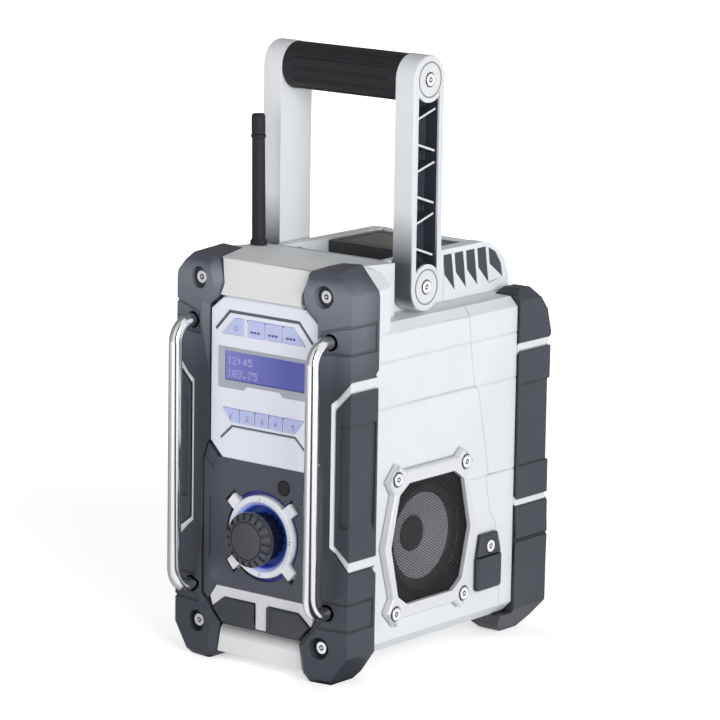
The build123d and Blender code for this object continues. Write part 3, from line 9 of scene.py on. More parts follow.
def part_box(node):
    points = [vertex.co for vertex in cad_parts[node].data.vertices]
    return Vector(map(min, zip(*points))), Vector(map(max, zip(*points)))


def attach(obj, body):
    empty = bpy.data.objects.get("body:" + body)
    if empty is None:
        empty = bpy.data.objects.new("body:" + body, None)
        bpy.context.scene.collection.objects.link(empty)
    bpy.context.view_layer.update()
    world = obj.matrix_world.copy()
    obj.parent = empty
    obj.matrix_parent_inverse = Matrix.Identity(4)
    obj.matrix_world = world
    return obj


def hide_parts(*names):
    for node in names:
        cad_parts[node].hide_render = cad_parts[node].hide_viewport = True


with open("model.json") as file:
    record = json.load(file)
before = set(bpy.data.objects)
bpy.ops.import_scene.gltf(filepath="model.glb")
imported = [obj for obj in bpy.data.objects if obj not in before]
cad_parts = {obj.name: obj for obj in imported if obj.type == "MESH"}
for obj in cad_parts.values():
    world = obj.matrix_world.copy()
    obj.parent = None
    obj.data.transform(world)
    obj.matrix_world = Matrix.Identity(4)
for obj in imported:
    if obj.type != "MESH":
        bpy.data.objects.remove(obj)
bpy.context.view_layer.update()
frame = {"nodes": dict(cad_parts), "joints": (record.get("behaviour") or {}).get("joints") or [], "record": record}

# Looks of the jobsite radio. Lengths are in metres; mm turns millimetres into metres.
# X points right, Y back and Z up, as in the frame.
mm = 0.001
nodes = frame["nodes"]
joints = {joint["name"]: joint for joint in frame["joints"]}

# ------------------------------------------------------------------ camera and light
CAMERA_AZIMUTH = 38.53
CAMERA_ELEVATION = 11.43
CAMERA_ROLL = 0.93
CAMERA_PLACE = Vector((1.80329, -2.25922, 0.79819))
CAMERA_LENS = 200.0
LAMP_DISTANCE = 3.6
LAMP_SIZE = 2.0
LAMPS = [
    # name, azimuth (0 is the front, 90 the right side), elevation, and how bright it alone
    # would show a white surface that faces it
    ("key_lamp", 66, 15, 0.70),
    ("front_lamp", -22, 12, 0.30),
    ("left_lamp", 262, 12, 0.38),
    ("back_lamp", 172, 12, 0.38),
]
SKY_AT_HORIZON = 0.62
SKY_AT_ZENITH = 0.0
FLOOR_GLOW_NEAR = 0.52
FLOOR_GLOW_FAR = 1.0
STUDIO_REFLECTION = [
    # azimuth, and how bright the studio is there for what is seen in gloss
    (-180, 0.22), (-100, 0.22), (-60, 0.34), (-26, 0.50), (-12, 0.95), (20, 1.0), (28, 0.04), (48, 0.04),
    (58, 0.95), (148, 0.95), (158, 0.35), (179, 0.22),
]

# ------------------------------------------------------------------ places taken from the frame
DIAL_CENTRE = Vector((0.0, 0.0, joints["volume_turn"]["pos_m"][2]))
KNOB_LOW, KNOB_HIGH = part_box("volume_knob")
LCD_LOW, LCD_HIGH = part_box("lcd_module")
CONE_LOW, CONE_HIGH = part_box("speaker_cone_right")
MESH_LOW, MESH_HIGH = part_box("speaker_grille_right")
BAR_LOW, BAR_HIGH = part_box("guard_bar_right")
ARM_LOW, ARM_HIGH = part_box("handle_arm_right")
PANEL_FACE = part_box("display_panel")[0].y
KEY_FLANGE = 1.2 * mm
FUNCTION_KEYS = [f"function_button_{number}" for number in range(1, 5)]
PRESET_KEYS = [f"preset_button_{number}" for number in range(1, 6)]
CLOUD_SCALE = 14.0          # cells per metre of the faint cloudy tone
NOISE_ROUGHNESS = 0.55
MERGE_DISTANCE = 2e-6       # corners this close are one
HAIR = 0.03 * mm            # how far key lamps and dial marks stand proud


def side_name(side):
    return "right" if side > 0 else "left"


# ================================================================== materials
def shader_material(name):
    material = bpy.data.materials.new(name)
    material.use_nodes = True
    tree = material.node_tree
    return material, tree, tree.nodes["Principled BSDF"]


def add_node(tree, kind, **values):
    node = tree.nodes.new(kind)
    for key, value in values.items():
        if key in node.inputs:
            node.inputs[key].default_value = value
        else:
            setattr(node, key, value)
    return node


def math_node(tree, operation, first, second=None):
    """A Math node fed by sockets or plain numbers; returns its output."""
    node = add_node(tree, "ShaderNodeMath", operation=operation)
    for socket, value in zip(node.inputs, (first, second)):
        if isinstance(value, bpy.types.NodeSocket):
            tree.links.new(value, socket)
        elif value is not None:
            socket.default_value = value
    return node.outputs["Value"]


def object_place(tree):
    """The X, Y and Z of the object's own coordinates."""
    split = add_node(tree, "ShaderNodeSeparateXYZ")
    tree.links.new(add_node(tree, "ShaderNodeTexCoord").outputs["Object"], split.inputs["Vector"])
    return split.outputs


def object_noise(tree, scale, detail):
    """Noise from 0 to 1 over the object's own coordinates; scale is in cells per metre."""
    coordinates = add_node(tree, "ShaderNodeTexCoord")
    noise = add_node(tree, "ShaderNodeTexNoise", Scale=scale, Detail=detail, Roughness=NOISE_ROUGHNESS)
    tree.links.new(coordinates.outputs["Object"], noise.inputs["Vector"])
    return noise.outputs["Fac"]


def remap(tree, value, low, high, out_low, out_high):
    ramp = add_node(tree, "ShaderNodeMapRange")
    ramp.inputs["From Min"].default_value = low
    ramp.inputs["From Max"].default_value = high
    ramp.inputs["To Min"].default_value = out_low
    ramp.inputs["To Max"].default_value = out_high
    tree.links.new(value, ramp.inputs["Value"])
    return ramp.outputs["Result"]


def two_tone(tree, factor, first, second):
    mix = add_node(tree, "ShaderNodeMix", data_type="RGBA")
    mix.inputs["A"].default_value = (*first, 1.0)
    mix.inputs["B"].default_value = (*second, 1.0)
    tree.links.new(factor, mix.inputs["Factor"])
    return mix.outputs["Result"]


def toned(tree, colour, factor, tone):
    """The colour, turned to the tone as far as the factor says."""
    mix = add_node(tree, "ShaderNodeMix", data_type="RGBA")
    mix.inputs["B"].default_value = (*tone, 1.0)
    tree.links.new(colour, mix.inputs["A"])
    tree.links.new(factor, mix.inputs["Factor"])
    return mix.outputs["Result"]


def colour_ramp(tree, value, stops):
    """The colour at the value, between stops of a place and a colour."""
    ramp = add_node(tree, "ShaderNodeValToRGB")
    while len(ramp.color_ramp.elements) < len(stops):
        ramp.color_ramp.elements.new(0.5)
    for element, (position, colour) in zip(ramp.color_ramp.elements, stops):
        element.position = position
        element.color = (*colour, 1.0)
    tree.links.new(value, ramp.inputs["Fac"])
    return ramp.outputs["Color"]


def add_gloss(tree, shader, grain, span, roughness, spread):
    """Roughness that strays by the spread, over the span of the grain on each side of its middle."""
    uneven = remap(tree, grain, 0.5 - span, 0.5 + span, roughness - spread, roughness + spread)
    tree.links.new(uneven, shader.inputs["Roughness"])


def add_bump(tree, shader, height, strength, distance):
    bump = add_node(tree, "ShaderNodeBump", Strength=strength, Distance=distance)
    tree.links.new(height, bump.inputs["Height"])
    tree.links.new(bump.outputs["Normal"], shader.inputs["Normal"])


def darkened(tree, colour, share, floor):
    """The colour times a share that runs from floor to 1."""
    scale = remap(tree, share, 0, 1, floor, 1)
    shade_mix = add_node(tree, "ShaderNodeMix", data_type="RGBA", blend_type="MULTIPLY")
    shade_mix.inputs["Factor"].default_value = 1.0
    tree.links.new(colour, shade_mix.inputs["A"])
    tree.links.new(scale, shade_mix.inputs["B"])
    return shade_mix.outputs["Result"]


def with_crevices(tree, colour, reach, floor):
    """Painted shade: grooves and gaps within reach metres are darkened, down to floor times the colour."""
    near = add_node(tree, "ShaderNodeAmbientOcclusion", samples=8)
    near.inputs["Distance"].default_value = reach
    return darkened(tree, colour, remap(tree, near.outputs["AO"], 0.45, 0.95, 0, 1), floor)


def moulded(name, light, dark, roughness, spread, grain_scale, grain_depth, crevice=None, **socket_shades):
    """Moulded plastic, paint or rubber: faint cloudy tone, uneven gloss, a fine grain and, when crevice is given,
    painted shade in grooves and gaps.
    """
    material, tree, shader = shader_material(name)
    cloud = object_noise(tree, CLOUD_SCALE, 4.0)
    colour = two_tone(tree, remap(tree, cloud, 0.3, 0.7, 0, 1), dark, light)
    # Painted shade in grooves and gaps.
    if crevice is not None:
        colour = with_crevices(tree, colour, *crevice)
    tree.links.new(colour, shader.inputs["Base Color"])
    grain = object_noise(tree, grain_scale, 2.0)
    add_gloss(tree, shader, grain, 0.25, roughness, spread)
    add_bump(tree, shader, grain, 0.35, grain_depth)
    for socket, value in socket_shades.items():
        shader.inputs[socket.replace("_", " ")].default_value = value
    return material


def metal(name, colour, roughness, spread, grain_scale=900.0):
    """Bare metal with an uneven gloss and a very fine grain."""
    material, tree, shader = shader_material(name)
    shader.inputs["Base Color"].default_value = (*colour, 1.0)
    shader.inputs["Metallic"].default_value = 1.0
    grain = object_noise(tree, grain_scale, 3.0)
    add_gloss(tree, shader, grain, 0.2, roughness, spread)
    add_bump(tree, shader, grain, 0.2, 0.00001)
    return material


def paint_of(material):
    """The material's tree, its shader and what feeds the shader's colour."""
    tree = material.node_tree
    shader = tree.nodes["Principled BSDF"]
    return tree, shader, shader.inputs["Base Color"].links[0].from_socket


def housing_material():
    """White paint, with painted shade in its grooves and seams."""
    return moulded("housing_white_paint", (0.77, 0.795, 0.82), (0.73, 0.755, 0.78), 0.46, 0.06, 1800.0,
                   0.00003, crevice=(2.0 * mm, 0.35), Specular_IOR_Level=0.25)


def between(tree, value, low, high):
    """1 where the value lies between low and high."""
    above = math_node(tree, "GREATER_THAN", value, low)
    return math_node(tree, "MULTIPLY", above, math_node(tree, "LESS_THAN", value, high))


def arm_material():
    """Light grey paint with painted shade in its grooves; the pocket is slate painted shade, and the foot of the
    face that looks to the front is a slate painted reflection.
    """
    material = moulded("arm_painted", (0.73, 0.745, 0.76), (0.69, 0.705, 0.72), 0.40, 0.05, 1800.0, 0.00002,
                       crevice=(1.5 * mm, 0.35), Specular_IOR_Level=0.3)
    tree, shader, paint = paint_of(material)
    place = object_place(tree)
    middle = (ARM_HIGH.y + ARM_LOW.y) / 2
    pocket_end = (ARM_HIGH.y - ARM_LOW.y) / 2 + 11 * mm
    # Painted shade: the pocket is slate.
    out = math_node(tree, "ABSOLUTE", place["X"])
    pocket = math_node(tree, "MULTIPLY", between(tree, out, ARM_HIGH.x - 13.4 * mm, ARM_HIGH.x - 1.9 * mm),
                       between(tree, place["Y"], middle - 12.7 * mm, middle + 11.7 * mm))
    pocket = math_node(tree, "MULTIPLY", pocket,
                       between(tree, place["Z"], ARM_LOW.z + pocket_end, ARM_HIGH.z - pocket_end))
    # The slate foot is a painted reflection. This normal is the world's, so with the handle folded another face
    # has the slate foot.
    facing = add_node(tree, "ShaderNodeSeparateXYZ")
    tree.links.new(add_node(tree, "ShaderNodeNewGeometry").outputs["Normal"], facing.inputs["Vector"])
    front_face = remap(tree, facing.outputs["Y"], -0.5, -0.9, 0, 1)
    rise = remap(tree, place["Z"], ARM_LOW.z + 36 * mm, ARM_LOW.z + 74 * mm, 1, 0)
    shaded = math_node(tree, "MULTIPLY", math_node(tree, "MULTIPLY", front_face, rise), 0.94)
    slate = toned(tree, paint, math_node(tree, "MAXIMUM", pocket, shaded), (0.040, 0.052, 0.064))
    tree.links.new(slate, shader.inputs["Base Color"])
    return material


def dial_ring_material():
    """White ring with the blue light of the light ring painted on its inner edge, in its colour and as a glow."""
    material, tree, shader = shader_material("dial_ring_glow")
    place = object_place(tree)
    height = math_node(tree, "SUBTRACT", place["Z"], DIAL_CENTRE.z)
    across = math_node(tree, "MULTIPLY", place["X"], place["X"])
    upright = math_node(tree, "MULTIPLY", height, height)
    radius = math_node(tree, "SQRT", math_node(tree, "ADD", across, upright))
    # Painted blue light on the ring's inner edge, fading outwards.
    stops = [(0.0, (0.02, 0.06, 0.36)), (0.12, (0.03, 0.07, 0.42)), (0.20, (0.42, 0.46, 0.86)),
             (0.40, (0.62, 0.66, 0.93)), (0.56, (0.84, 0.86, 0.93)), (1.0, (0.86, 0.87, 0.90))]
    paint = colour_ramp(tree, remap(tree, radius, 22.2 * mm, 30.2 * mm, 0, 1), stops)
    tree.links.new(paint, shader.inputs["Base Color"])
    # Painted glow of the light ring on the inner edge.
    lit = remap(tree, radius, 23.05 * mm, 26.2 * mm, 0, 1)
    tree.links.new(two_tone(tree, lit, (0.012, 0.035, 0.26), (0, 0, 0)), shader.inputs["Emission Color"])
    shader.inputs["Emission Strength"].default_value = 0.9
    grain = object_noise(tree, 1500.0, 2.0)
    add_gloss(tree, shader, grain, 0.2, 0.30, 0.04)
    add_bump(tree, shader, grain, 0.15, 0.00001)
    return material


def rubber_material():
    """Soft dark rubber; the upper front corners carry a paler painted sheen, and its grooves and gaps painted
    shade.
    """
    material = moulded("rubber_dark", (0.056, 0.060, 0.075), (0.046, 0.050, 0.064), 0.40, 0.07, 2600.0,
                       0.00007, Specular_IOR_Level=0.25)
    tree, shader, plain = paint_of(material)
    place = object_place(tree)
    low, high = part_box("front_guard_right")
    rise = remap(tree, place["Z"], high.z - 90 * mm, high.z - 22 * mm, 0, 1)
    fall = remap(tree, place["Z"], high.z - 16 * mm, high.z - 6 * mm, 1, 0.2)
    ahead = remap(tree, place["Y"], high.y + 10 * mm, low.y + 20 * mm, 0, 1)
    share = math_node(tree, "MULTIPLY", math_node(tree, "MULTIPLY", rise, fall), ahead)
    # Painted sheen on the upper front corners, then painted shade in the crevices.
    painted_sheen = toned(tree, plain, math_node(tree, "MULTIPLY", share, 0.9), (0.185, 0.195, 0.230))
    tree.links.new(with_crevices(tree, painted_sheen, 3.0 * mm, 0.12), shader.inputs["Base Color"])
    return material


def latch_material():
    """Black plastic whose ribbed pad is worn to a bronze grey."""
    material = moulded("latch_bronze", (0.036, 0.034, 0.034), (0.026, 0.025, 0.026), 0.30, 0.06, 1500.0,
                       0.00003)
    tree, shader, plain = paint_of(material)
    place = object_place(tree)
    low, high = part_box("battery_latch")
    out = math_node(tree, "ABSOLUTE", place["X"])
    along = remap(tree, out, high.x - 14 * mm, high.x - 5 * mm, 1, 0)
    behind_front = remap(tree, place["Y"], low.y + 5 * mm, low.y + 12 * mm, 0, 1)
    ahead_of_back = remap(tree, place["Y"], high.y - 12 * mm, high.y - 5 * mm, 1, 0)
    across = math_node(tree, "MINIMUM", behind_front, ahead_of_back)
    upper = remap(tree, place["Z"], high.z - 1.2 * mm, high.z - 0.3 * mm, 0, 1)
    worn = math_node(tree, "MULTIPLY", math_node(tree, "MULTIPLY", along, across), upper)
    pad = toned(tree, plain, math_node(tree, "MULTIPLY", worn, 0.8), (0.200, 0.195, 0.185))
    tree.links.new(pad, shader.inputs["Base Color"])
    return material


def sill_material():
    """Silver paint with a painted reflection that makes it greyer along its upper edge, under the covers."""
    material = moulded("sill_silver_paint", (0.79, 0.80, 0.80), (0.74, 0.75, 0.75), 0.34, 0.05, 2600.0,
                       0.00002)
    tree, shader, paint = paint_of(material)
    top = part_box("front_sill")[1].z
    # Painted reflection: darker towards the upper edge.
    share = remap(tree, object_place(tree)["Z"], top - 9 * mm, top - 1.5 * mm, 1, 0)
    tree.links.new(darkened(tree, paint, share, 0.36), shader.inputs["Base Color"])
    return material


def glow_material(name, colour, emission, strength):
    dimmer = tuple(0.7 * part for part in colour)
    material = moulded(name, colour, dimmer, 0.35, 0.04, 900.0, 0.00001)
    shader = material.node_tree.nodes["Principled BSDF"]
    shader.inputs["Emission Color"].default_value = (*emission, 1.0)
    shader.inputs["Emission Strength"].default_value = strength
    return material


def lcd_material():
    """Backlit display, paler towards its left end."""
    material, tree, shader = shader_material("lcd_backlit")
    from_left = remap(tree, object_place(tree)["X"], LCD_LOW.x, LCD_HIGH.x - 20 * mm, 0, 1)
    colour = two_tone(tree, from_left, (0.150, 0.150, 0.42), (0.070, 0.078, 0.29))
    tree.links.new(colour, shader.inputs["Base Color"])
    tree.links.new(colour, shader.inputs["Emission Color"])
    shader.inputs["Emission Strength"].default_value = 0.35
    add_gloss(tree, shader, object_noise(tree, 1600.0, 2.0), 0.2, 0.35, 0.05)
    return material


def smooth_plastic(name, light, dark, roughness, **socket_shades):
    """Plastic with hardly any grain."""
    return moulded(name, light, dark, roughness, 0.04, 900.0, 0.00001, **socket_shades)


MATERIALS = {
    "white": housing_material(),
    "plate": moulded("plate_white_paint", (0.78, 0.785, 0.78), (0.72, 0.725, 0.72), 0.46, 0.06, 1800.0,
                     0.00003, Specular_IOR_Level=0.25),
    "rubber": rubber_material(),
    "soft_black": moulded("soft_black", (0.020, 0.020, 0.024), (0.014, 0.014, 0.017), 0.60, 0.07, 2200.0,
                          0.00006, Specular_IOR_Level=0.3),
    "cover": moulded("cover_dark", (0.042, 0.046, 0.060), (0.034, 0.037, 0.049), 0.44, 0.06, 2400.0, 0.00007),
    "display": moulded("display_white", (0.82, 0.83, 0.90), (0.78, 0.79, 0.87), 0.25, 0.04, 700.0, 0.00001),
    "key": moulded("key_lilac", (0.53, 0.57, 0.83), (0.48, 0.52, 0.80), 0.30, 0.04, 1200.0, 0.00001),
    "control": moulded("control_charcoal", (0.072, 0.076, 0.098), (0.061, 0.064, 0.084), 0.40, 0.06, 2200.0,
                       0.00005),
    # Painted shade in the knob's grooves and gaps.
    "knob": moulded("knob_charcoal", (0.056, 0.059, 0.073), (0.047, 0.050, 0.063), 0.38, 0.06, 2000.0,
                    0.00005, crevice=(1.2 * mm, 0.2)),
    "knob_body": moulded("knob_body_black", (0.010, 0.010, 0.016), (0.007, 0.007, 0.012), 0.22, 0.05, 2000.0,
                         0.00002),
    "ring": dial_ring_material(),
    "glow": glow_material("light_blue", (0.012, 0.014, 0.10), (0.015, 0.025, 0.20), 0.4),
    # Painted blue light on the floor between knob and ring.
    "glow_inner": glow_material("light_blue_inner", (0.008, 0.016, 0.12), (0.010, 0.030, 0.20), 0.5),
    "silver": moulded("trim_silver_paint", (0.75, 0.76, 0.79), (0.70, 0.71, 0.74), 0.34, 0.05, 2600.0,
                      0.00002, Metallic=0.15),
    "arm": arm_material(),
    "sill": sill_material(),
    "chrome": metal("bar_chrome", (0.80, 0.81, 0.83), 0.15, 0.02, grain_scale=300.0),
    "steel": metal("screw_bright", (0.90, 0.91, 0.93), 0.30, 0.05),
    "mesh": moulded("mesh_black", (0.030, 0.030, 0.034), (0.020, 0.020, 0.024), 0.42, 0.06, 1500.0, 0.00002,
                    Specular_IOR_Level=0.5),
    "cone": moulded("speaker_paper", (0.60, 0.62, 0.65), (0.52, 0.54, 0.57), 0.6, 0.06, 1500.0, 0.00006),
    "driver": moulded("driver_black", (0.020, 0.020, 0.023), (0.014, 0.014, 0.016), 0.5, 0.06, 900.0,
                      0.00003),
    "felt": moulded("baffle_felt", (0.012, 0.012, 0.014), (0.008, 0.008, 0.009), 0.9, 0.05, 2500.0, 0.0001,
                    Specular_IOR_Level=0.1),
    "lcd": lcd_material(),
    "digits": glow_material("lcd_digits", (0.34, 0.32, 0.50), (0.34, 0.32, 0.50), 0.45),
    "lcd_edge": smooth_plastic("lcd_edge", (0.020, 0.028, 0.20), (0.016, 0.022, 0.16), 0.4),
    "bezel": smooth_plastic("lcd_bezel_grey", (0.42, 0.445, 0.50), (0.38, 0.405, 0.46), 0.35,
                            Specular_IOR_Level=0.3),
    # Painted shade in the grooves around the keys.
    "inlay": moulded("panel_groove_shade_slate", (0.080, 0.112, 0.135), (0.068, 0.096, 0.118), 0.4, 0.05, 900.0,
                     0.00001),
    "slate": moulded("slate_dark", (0.026, 0.040, 0.052), (0.020, 0.032, 0.042), 0.45, 0.05, 900.0, 0.00002),
    "socket": moulded("socket_dark", (0.020, 0.021, 0.024), (0.014, 0.015, 0.018), 0.4, 0.05, 900.0, 0.00001),
    "mark": smooth_plastic("ring_mark", (0.30, 0.30, 0.42), (0.24, 0.24, 0.36), 0.4),
    "board": moulded("board_green", (0.02, 0.14, 0.07), (0.015, 0.10, 0.05), 0.4, 0.05, 700.0, 0.00002),
    "print_blue": smooth_plastic("print_blue", (0.055, 0.065, 0.26), (0.045, 0.055, 0.22), 0.4),
    "bronze": latch_material(),
}


def both(name, width):
    return {f"{name}_left": width, f"{name}_right": width}


NODE_LOOKS = {
    # material, then the width in millimetres of the rounding along the sharp edges
    "white": {"front_housing": 0.5, "rear_housing": 0.5, "battery_door": 0.6},
    "plate": {"top_front_plate": 0.8},
    "rubber": {**both("front_guard", 0.45), **both("front_bumper", 0.6), **both("rear_guard", 0.8),
               **both("rear_bumper", 0.8), "dc_cover_anchor": 0.4, "dc_cover_flap": 0.4},
    "soft_black": {"handle_grip": 0.5, "antenna": 0.0, "mute_button": 0.4, "encoder": 0.0, "front_ports": 0.0,
                   "dc_jack": 0.0, "battery_terminal": 0.0},
    "cover": both("port_cover", 0.4),
    "display": {"display_panel": 0.0},
    "key": dict.fromkeys(FUNCTION_KEYS + PRESET_KEYS, 0.3),
    "control": {"control_panel": 0.0},
    "knob": {"volume_knob": 0.0},
    "ring": {"dial_ring": 0.3},
    "glow": {"light_ring": 0.0},
    "silver": {"port_trim": 0.5, **both("speaker_frame", 0.6)},
    "sill": {"front_sill": 0.6},
    "arm": both("handle_arm", 0.5),
    "chrome": both("guard_bar", 0.0),
    "steel": {"case_screws": 0.3, "handle_screws": 0.3, "encoder_shaft": 0.0, "door_hinge_pin": 0.0},
    "mesh": both("speaker_grille", 0.0),
    "cone": both("speaker_cone", 0.0),
    "driver": both("speaker_driver", 0.0),
    "lcd": {"lcd_lens": 0.0, "lcd_module": 0.0},
    "board": {"button_board": 0.0, "main_board": 0.0},
    "bronze": {"battery_latch": 0.4},
}


# ================================================================== mesh helpers
def link(piece):
    bpy.context.scene.collection.objects.link(piece)
    return piece


def mesh_piece(name, vertices, faces, material, body, smooth_angle=30.0):
    mesh = bpy.data.meshes.new(name)
    mesh.from_pydata(vertices, [], faces)
    mesh.validate()
    work = bmesh.new()
    work.from_mesh(mesh)
    bmesh.ops.recalc_face_normals(work, faces=work.faces)
    work.to_mesh(mesh)
    work.free()
    mesh.materials.append(MATERIALS[material])
    shade(mesh, smooth_angle)
    piece = link(bpy.data.objects.new(name, mesh))
    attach(piece, body)
    return piece


def ring_plate(vertices, faces, centre, axis, outward, inner, outer, thickness, steps=48):
    """Adds a flat ring, or a disc when inner is 0, whose face is at centre and looks along the axis."""
    first = len(vertices)
    u, v = ((1, 2), (0, 2))[axis]
    for step in range(steps):
        angle = math.tau * step / steps
        for radius in (max(inner, 0.01 * mm), outer):
            for depth in (0.0, thickness):
                point = [0.0, 0.0, 0.0]
                point[axis] = centre[axis] - outward * depth
                point[u] = centre[u] + radius * math.cos(angle)
                point[v] = centre[v] + radius * math.sin(angle)
                vertices.append(tuple(point))
    flip = (outward > 0) == (axis == 1)
    for step in range(steps):
        a = first + step * 4
        b = first + (step + 1) % steps * 4
        sides = [(a, a + 2, b + 2, b), (a + 1, b + 1, b + 3, a + 3), (a, b, b + 1, a + 1),
                 (a + 2, a + 3, b + 3, b + 2)]
        faces += [side[::-1] for side in sides] if flip else sides


def band(vertices, faces, outer, inner, front_outer, front_inner, back, closed=True):
    """Adds a solid strip between two lines of (x, z) points; its face runs from one depth to the other."""
    first = len(vertices)
    for (x0, z0), (x1, z1) in zip(outer, inner):
        vertices += [(x0, front_outer, z0), (x1, front_inner, z1), (x1, back, z1), (x0, back, z0)]
    count = len(outer)
    for index in range(count if closed else count - 1):
        a = first + index * 4
        b = first + (index + 1) % count * 4
        for corner in range(4):
            after = (corner + 1) % 4
            faces.append((a + corner, b + corner, b + after, a + after))
    if not closed:
        faces.append((first, first + 1, first + 2, first + 3))
        last = first + (count - 1) * 4
        faces.append((last + 3, last + 2, last + 1, last))


def widened(points, width):
    """Two lines beside an open line of (x, z) points, with mitred corners."""
    sides = ([], [])
    for index, (x, z) in enumerate(points):
        before = Vector(points[max(index - 1, 0)])
        after = Vector(points[min(index + 1, len(points) - 1)])
        here = Vector((x, z))
        arms = [arm.normalized() for arm in (here - before, after - here) if arm.length > 0]
        along = (arms[0] + arms[-1]).normalized()
        across = Vector((-along.y, along.x))
        reach = width / 2 / across.dot(Vector((-arms[0].y, arms[0].x)))
        for line, sign in zip(sides, (1, -1)):
            line.append(tuple(here + across * reach * sign))
    return sides


def shade(mesh, angle):
    mesh.shade_smooth()
    mesh.set_sharp_from_angle(angle=math.radians(angle))


def body_of_node(name):
    bodies = frame["record"]["behaviour"]["bodies"]
    return next(body for body, members in bodies.items() if name in members)


def applied(holder):
    """The holder's mesh with its modifiers applied; the holder goes."""
    graph = bpy.context.evaluated_depsgraph_get()
    mesh = bpy.data.meshes.new_from_object(holder.evaluated_get(graph))
    bpy.data.objects.remove(holder)
    return mesh


def softened(name, width, material):
    """A copy of a CAD node with rounded edges, which stands for it."""
    source = nodes[name]
    mesh = bpy.data.meshes.new(name + "_soft")
    work = bmesh.new()
    work.from_mesh(source.data)
    bmesh.ops.remove_doubles(work, verts=work.verts, dist=MERGE_DISTANCE)
    work.to_mesh(mesh)
    work.free()
    raw = link(bpy.data.objects.new(name + "_raw", mesh))
    bevel = raw.modifiers.new("rounding", "BEVEL")
    bevel.width = width * mm
    bevel.segments = 2
    bevel.limit_method = "ANGLE"
    bevel.angle_limit = math.radians(28)
    bevel.use_clamp_overlap = False
    bevel.miter_outer = "MITER_ARC"
    bevel.loop_slide = False
    bevel.face_strength_mode = "FSTR_ALL"
    rounded = applied(raw)
    shade(rounded, 40)
    weighted = link(bpy.data.objects.new(name + "_weighted", rounded))
    normals = weighted.modifiers.new("flat faces", "WEIGHTED_NORMAL")
    normals.weight = 100
    normals.keep_sharp = True
    normals.use_face_influence = True
    final = applied(weighted)
    final.name = name + "_soft"
    final.materials.clear()
    final.materials.append(MATERIALS[material])
    piece = link(bpy.data.objects.new(name + "_soft", final))
    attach(piece, body_of_node(name))
    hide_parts(name)
    return piece


def dress_nodes():
    """Every CAD node gets its material; the ones with visible edges get rounded copies."""
    for material, members in NODE_LOOKS.items():
        for name, width in members.items():
            mesh = nodes[name].data
            mesh.materials.clear()
            mesh.materials.append(MATERIALS[material])
            if width:
                softened(name, width, material)


# ================================================================== speaker
def clipped(start, end, polygon):
    """The stretch of a line inside a convex polygon, or nothing."""
    low, high = 0.0, 1.0
    direction = (end[0] - start[0], end[1] - start[1])
    count = len(polygon)
    for index in range(count):
        ax, ay = polygon[index]
        bx, by = polygon[(index + 1) % count]
        nx, ny = -(by - ay), bx - ax
        inside = (start[0] - ax) * nx + (start[1] - ay) * ny
        change = direction[0] * nx + direction[1] * ny
        if abs(change) < 1e-15:
            if inside < 0:
                return None
            continue
        crossing = -inside / change
        if change > 0:
            low = max(low, crossing)
        else:
            high = min(high, crossing)
        if low >= high:
            return None
    return tuple((start[0] + direction[0] * share, start[1] + direction[1] * share) for share in (low, high))


MESH_PITCH = 1.9 * mm
MESH_WIRE = 0.52 * mm
MESH_SLOPE = 30             # degrees, of one layer of wires up and the other down
LAYER_SHIFT = 0.4           # from the middle to each layer, in wires
WIRE_SIDES = 6


def mouth_polygon():
    """The grille's outline as (y, z), anticlockwise, worked out from its box."""
    middle_y = (MESH_LOW.y + MESH_HIGH.y) / 2
    middle_z = (MESH_LOW.z + MESH_HIGH.z) / 2
    half_y = (MESH_HIGH.y - MESH_LOW.y) / 2
    half_z = (MESH_HIGH.z - MESH_LOW.z) / 2
    quarter = [(0.56 * half_y, half_z), (0.81 * half_y, 0.82 * half_z), (half_y, 0.0)]
    right = quarter + [(y, -z) for y, z in reversed(quarter[:2])]
    outline = right + [(-y, -z) for y, z in right]
    ring = [(middle_y + y, middle_z + z) for y, z in outline]
    area = sum(a[0] * b[1] - b[0] * a[1] for a, b in zip(ring, ring[1:] + ring[:1]))
    return ring if area > 0 else ring[::-1]


def wire_mesh(side):
    """Woven wire cloth of crossing diagonal wires, one layer a little in front of the other."""
    polygon = mouth_polygon()
    low_y = min(y for y, z in polygon)
    high_y = max(y for y, z in polygon)
    low_z = min(z for y, z in polygon)
    high_z = max(z for y, z in polygon)
    reach = max(high_y - low_y, high_z - low_z) * 1.5
    middle = ((low_y + high_y) / 2, (low_z + high_z) / 2)
    vertices, faces = [], []
    plane = (MESH_LOW.x + MESH_HIGH.x) / 2
    for slope, layer in ((MESH_SLOPE, -LAYER_SHIFT), (-MESH_SLOPE, LAYER_SHIFT)):
        angle = math.radians(slope)
        along = (math.cos(angle), math.sin(angle))
        across = (-along[1], along[0])
        count = int(reach / MESH_PITCH / 2)
        for index in range(-count, count + 1):
            base = (middle[0] + across[0] * index * MESH_PITCH, middle[1] + across[1] * index * MESH_PITCH)
            ends = ((base[0] - along[0] * reach, base[1] - along[1] * reach),
                    (base[0] + along[0] * reach, base[1] + along[1] * reach))
            kept = clipped(*ends, polygon)
            if kept is None:
                continue
            first = len(vertices)
            for y, z in kept:
                for turn in range(WIRE_SIDES):
                    corner = math.tau * turn / WIRE_SIDES
                    out = math.cos(corner) * MESH_WIRE / 2
                    sideways = math.sin(corner) * MESH_WIRE / 2
                    vertices.append((side * (plane + layer * MESH_WIRE + out),
                                     y + across[0] * sideways, z + across[1] * sideways))
            last = first + WIRE_SIDES
            for turn in range(WIRE_SIDES):
                after = (turn + 1) % WIRE_SIDES
                faces.append((first + turn, first + after, last + after, last + turn))
            faces.append(tuple(range(first, last))[::-1])
            faces.append(tuple(range(last, last + WIRE_SIDES)))
    label = side_name(side)
    piece = mesh_piece(f"wire_mesh_{label}", vertices, faces, "mesh", "case", 60)
    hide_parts(f"speaker_grille_{label}")


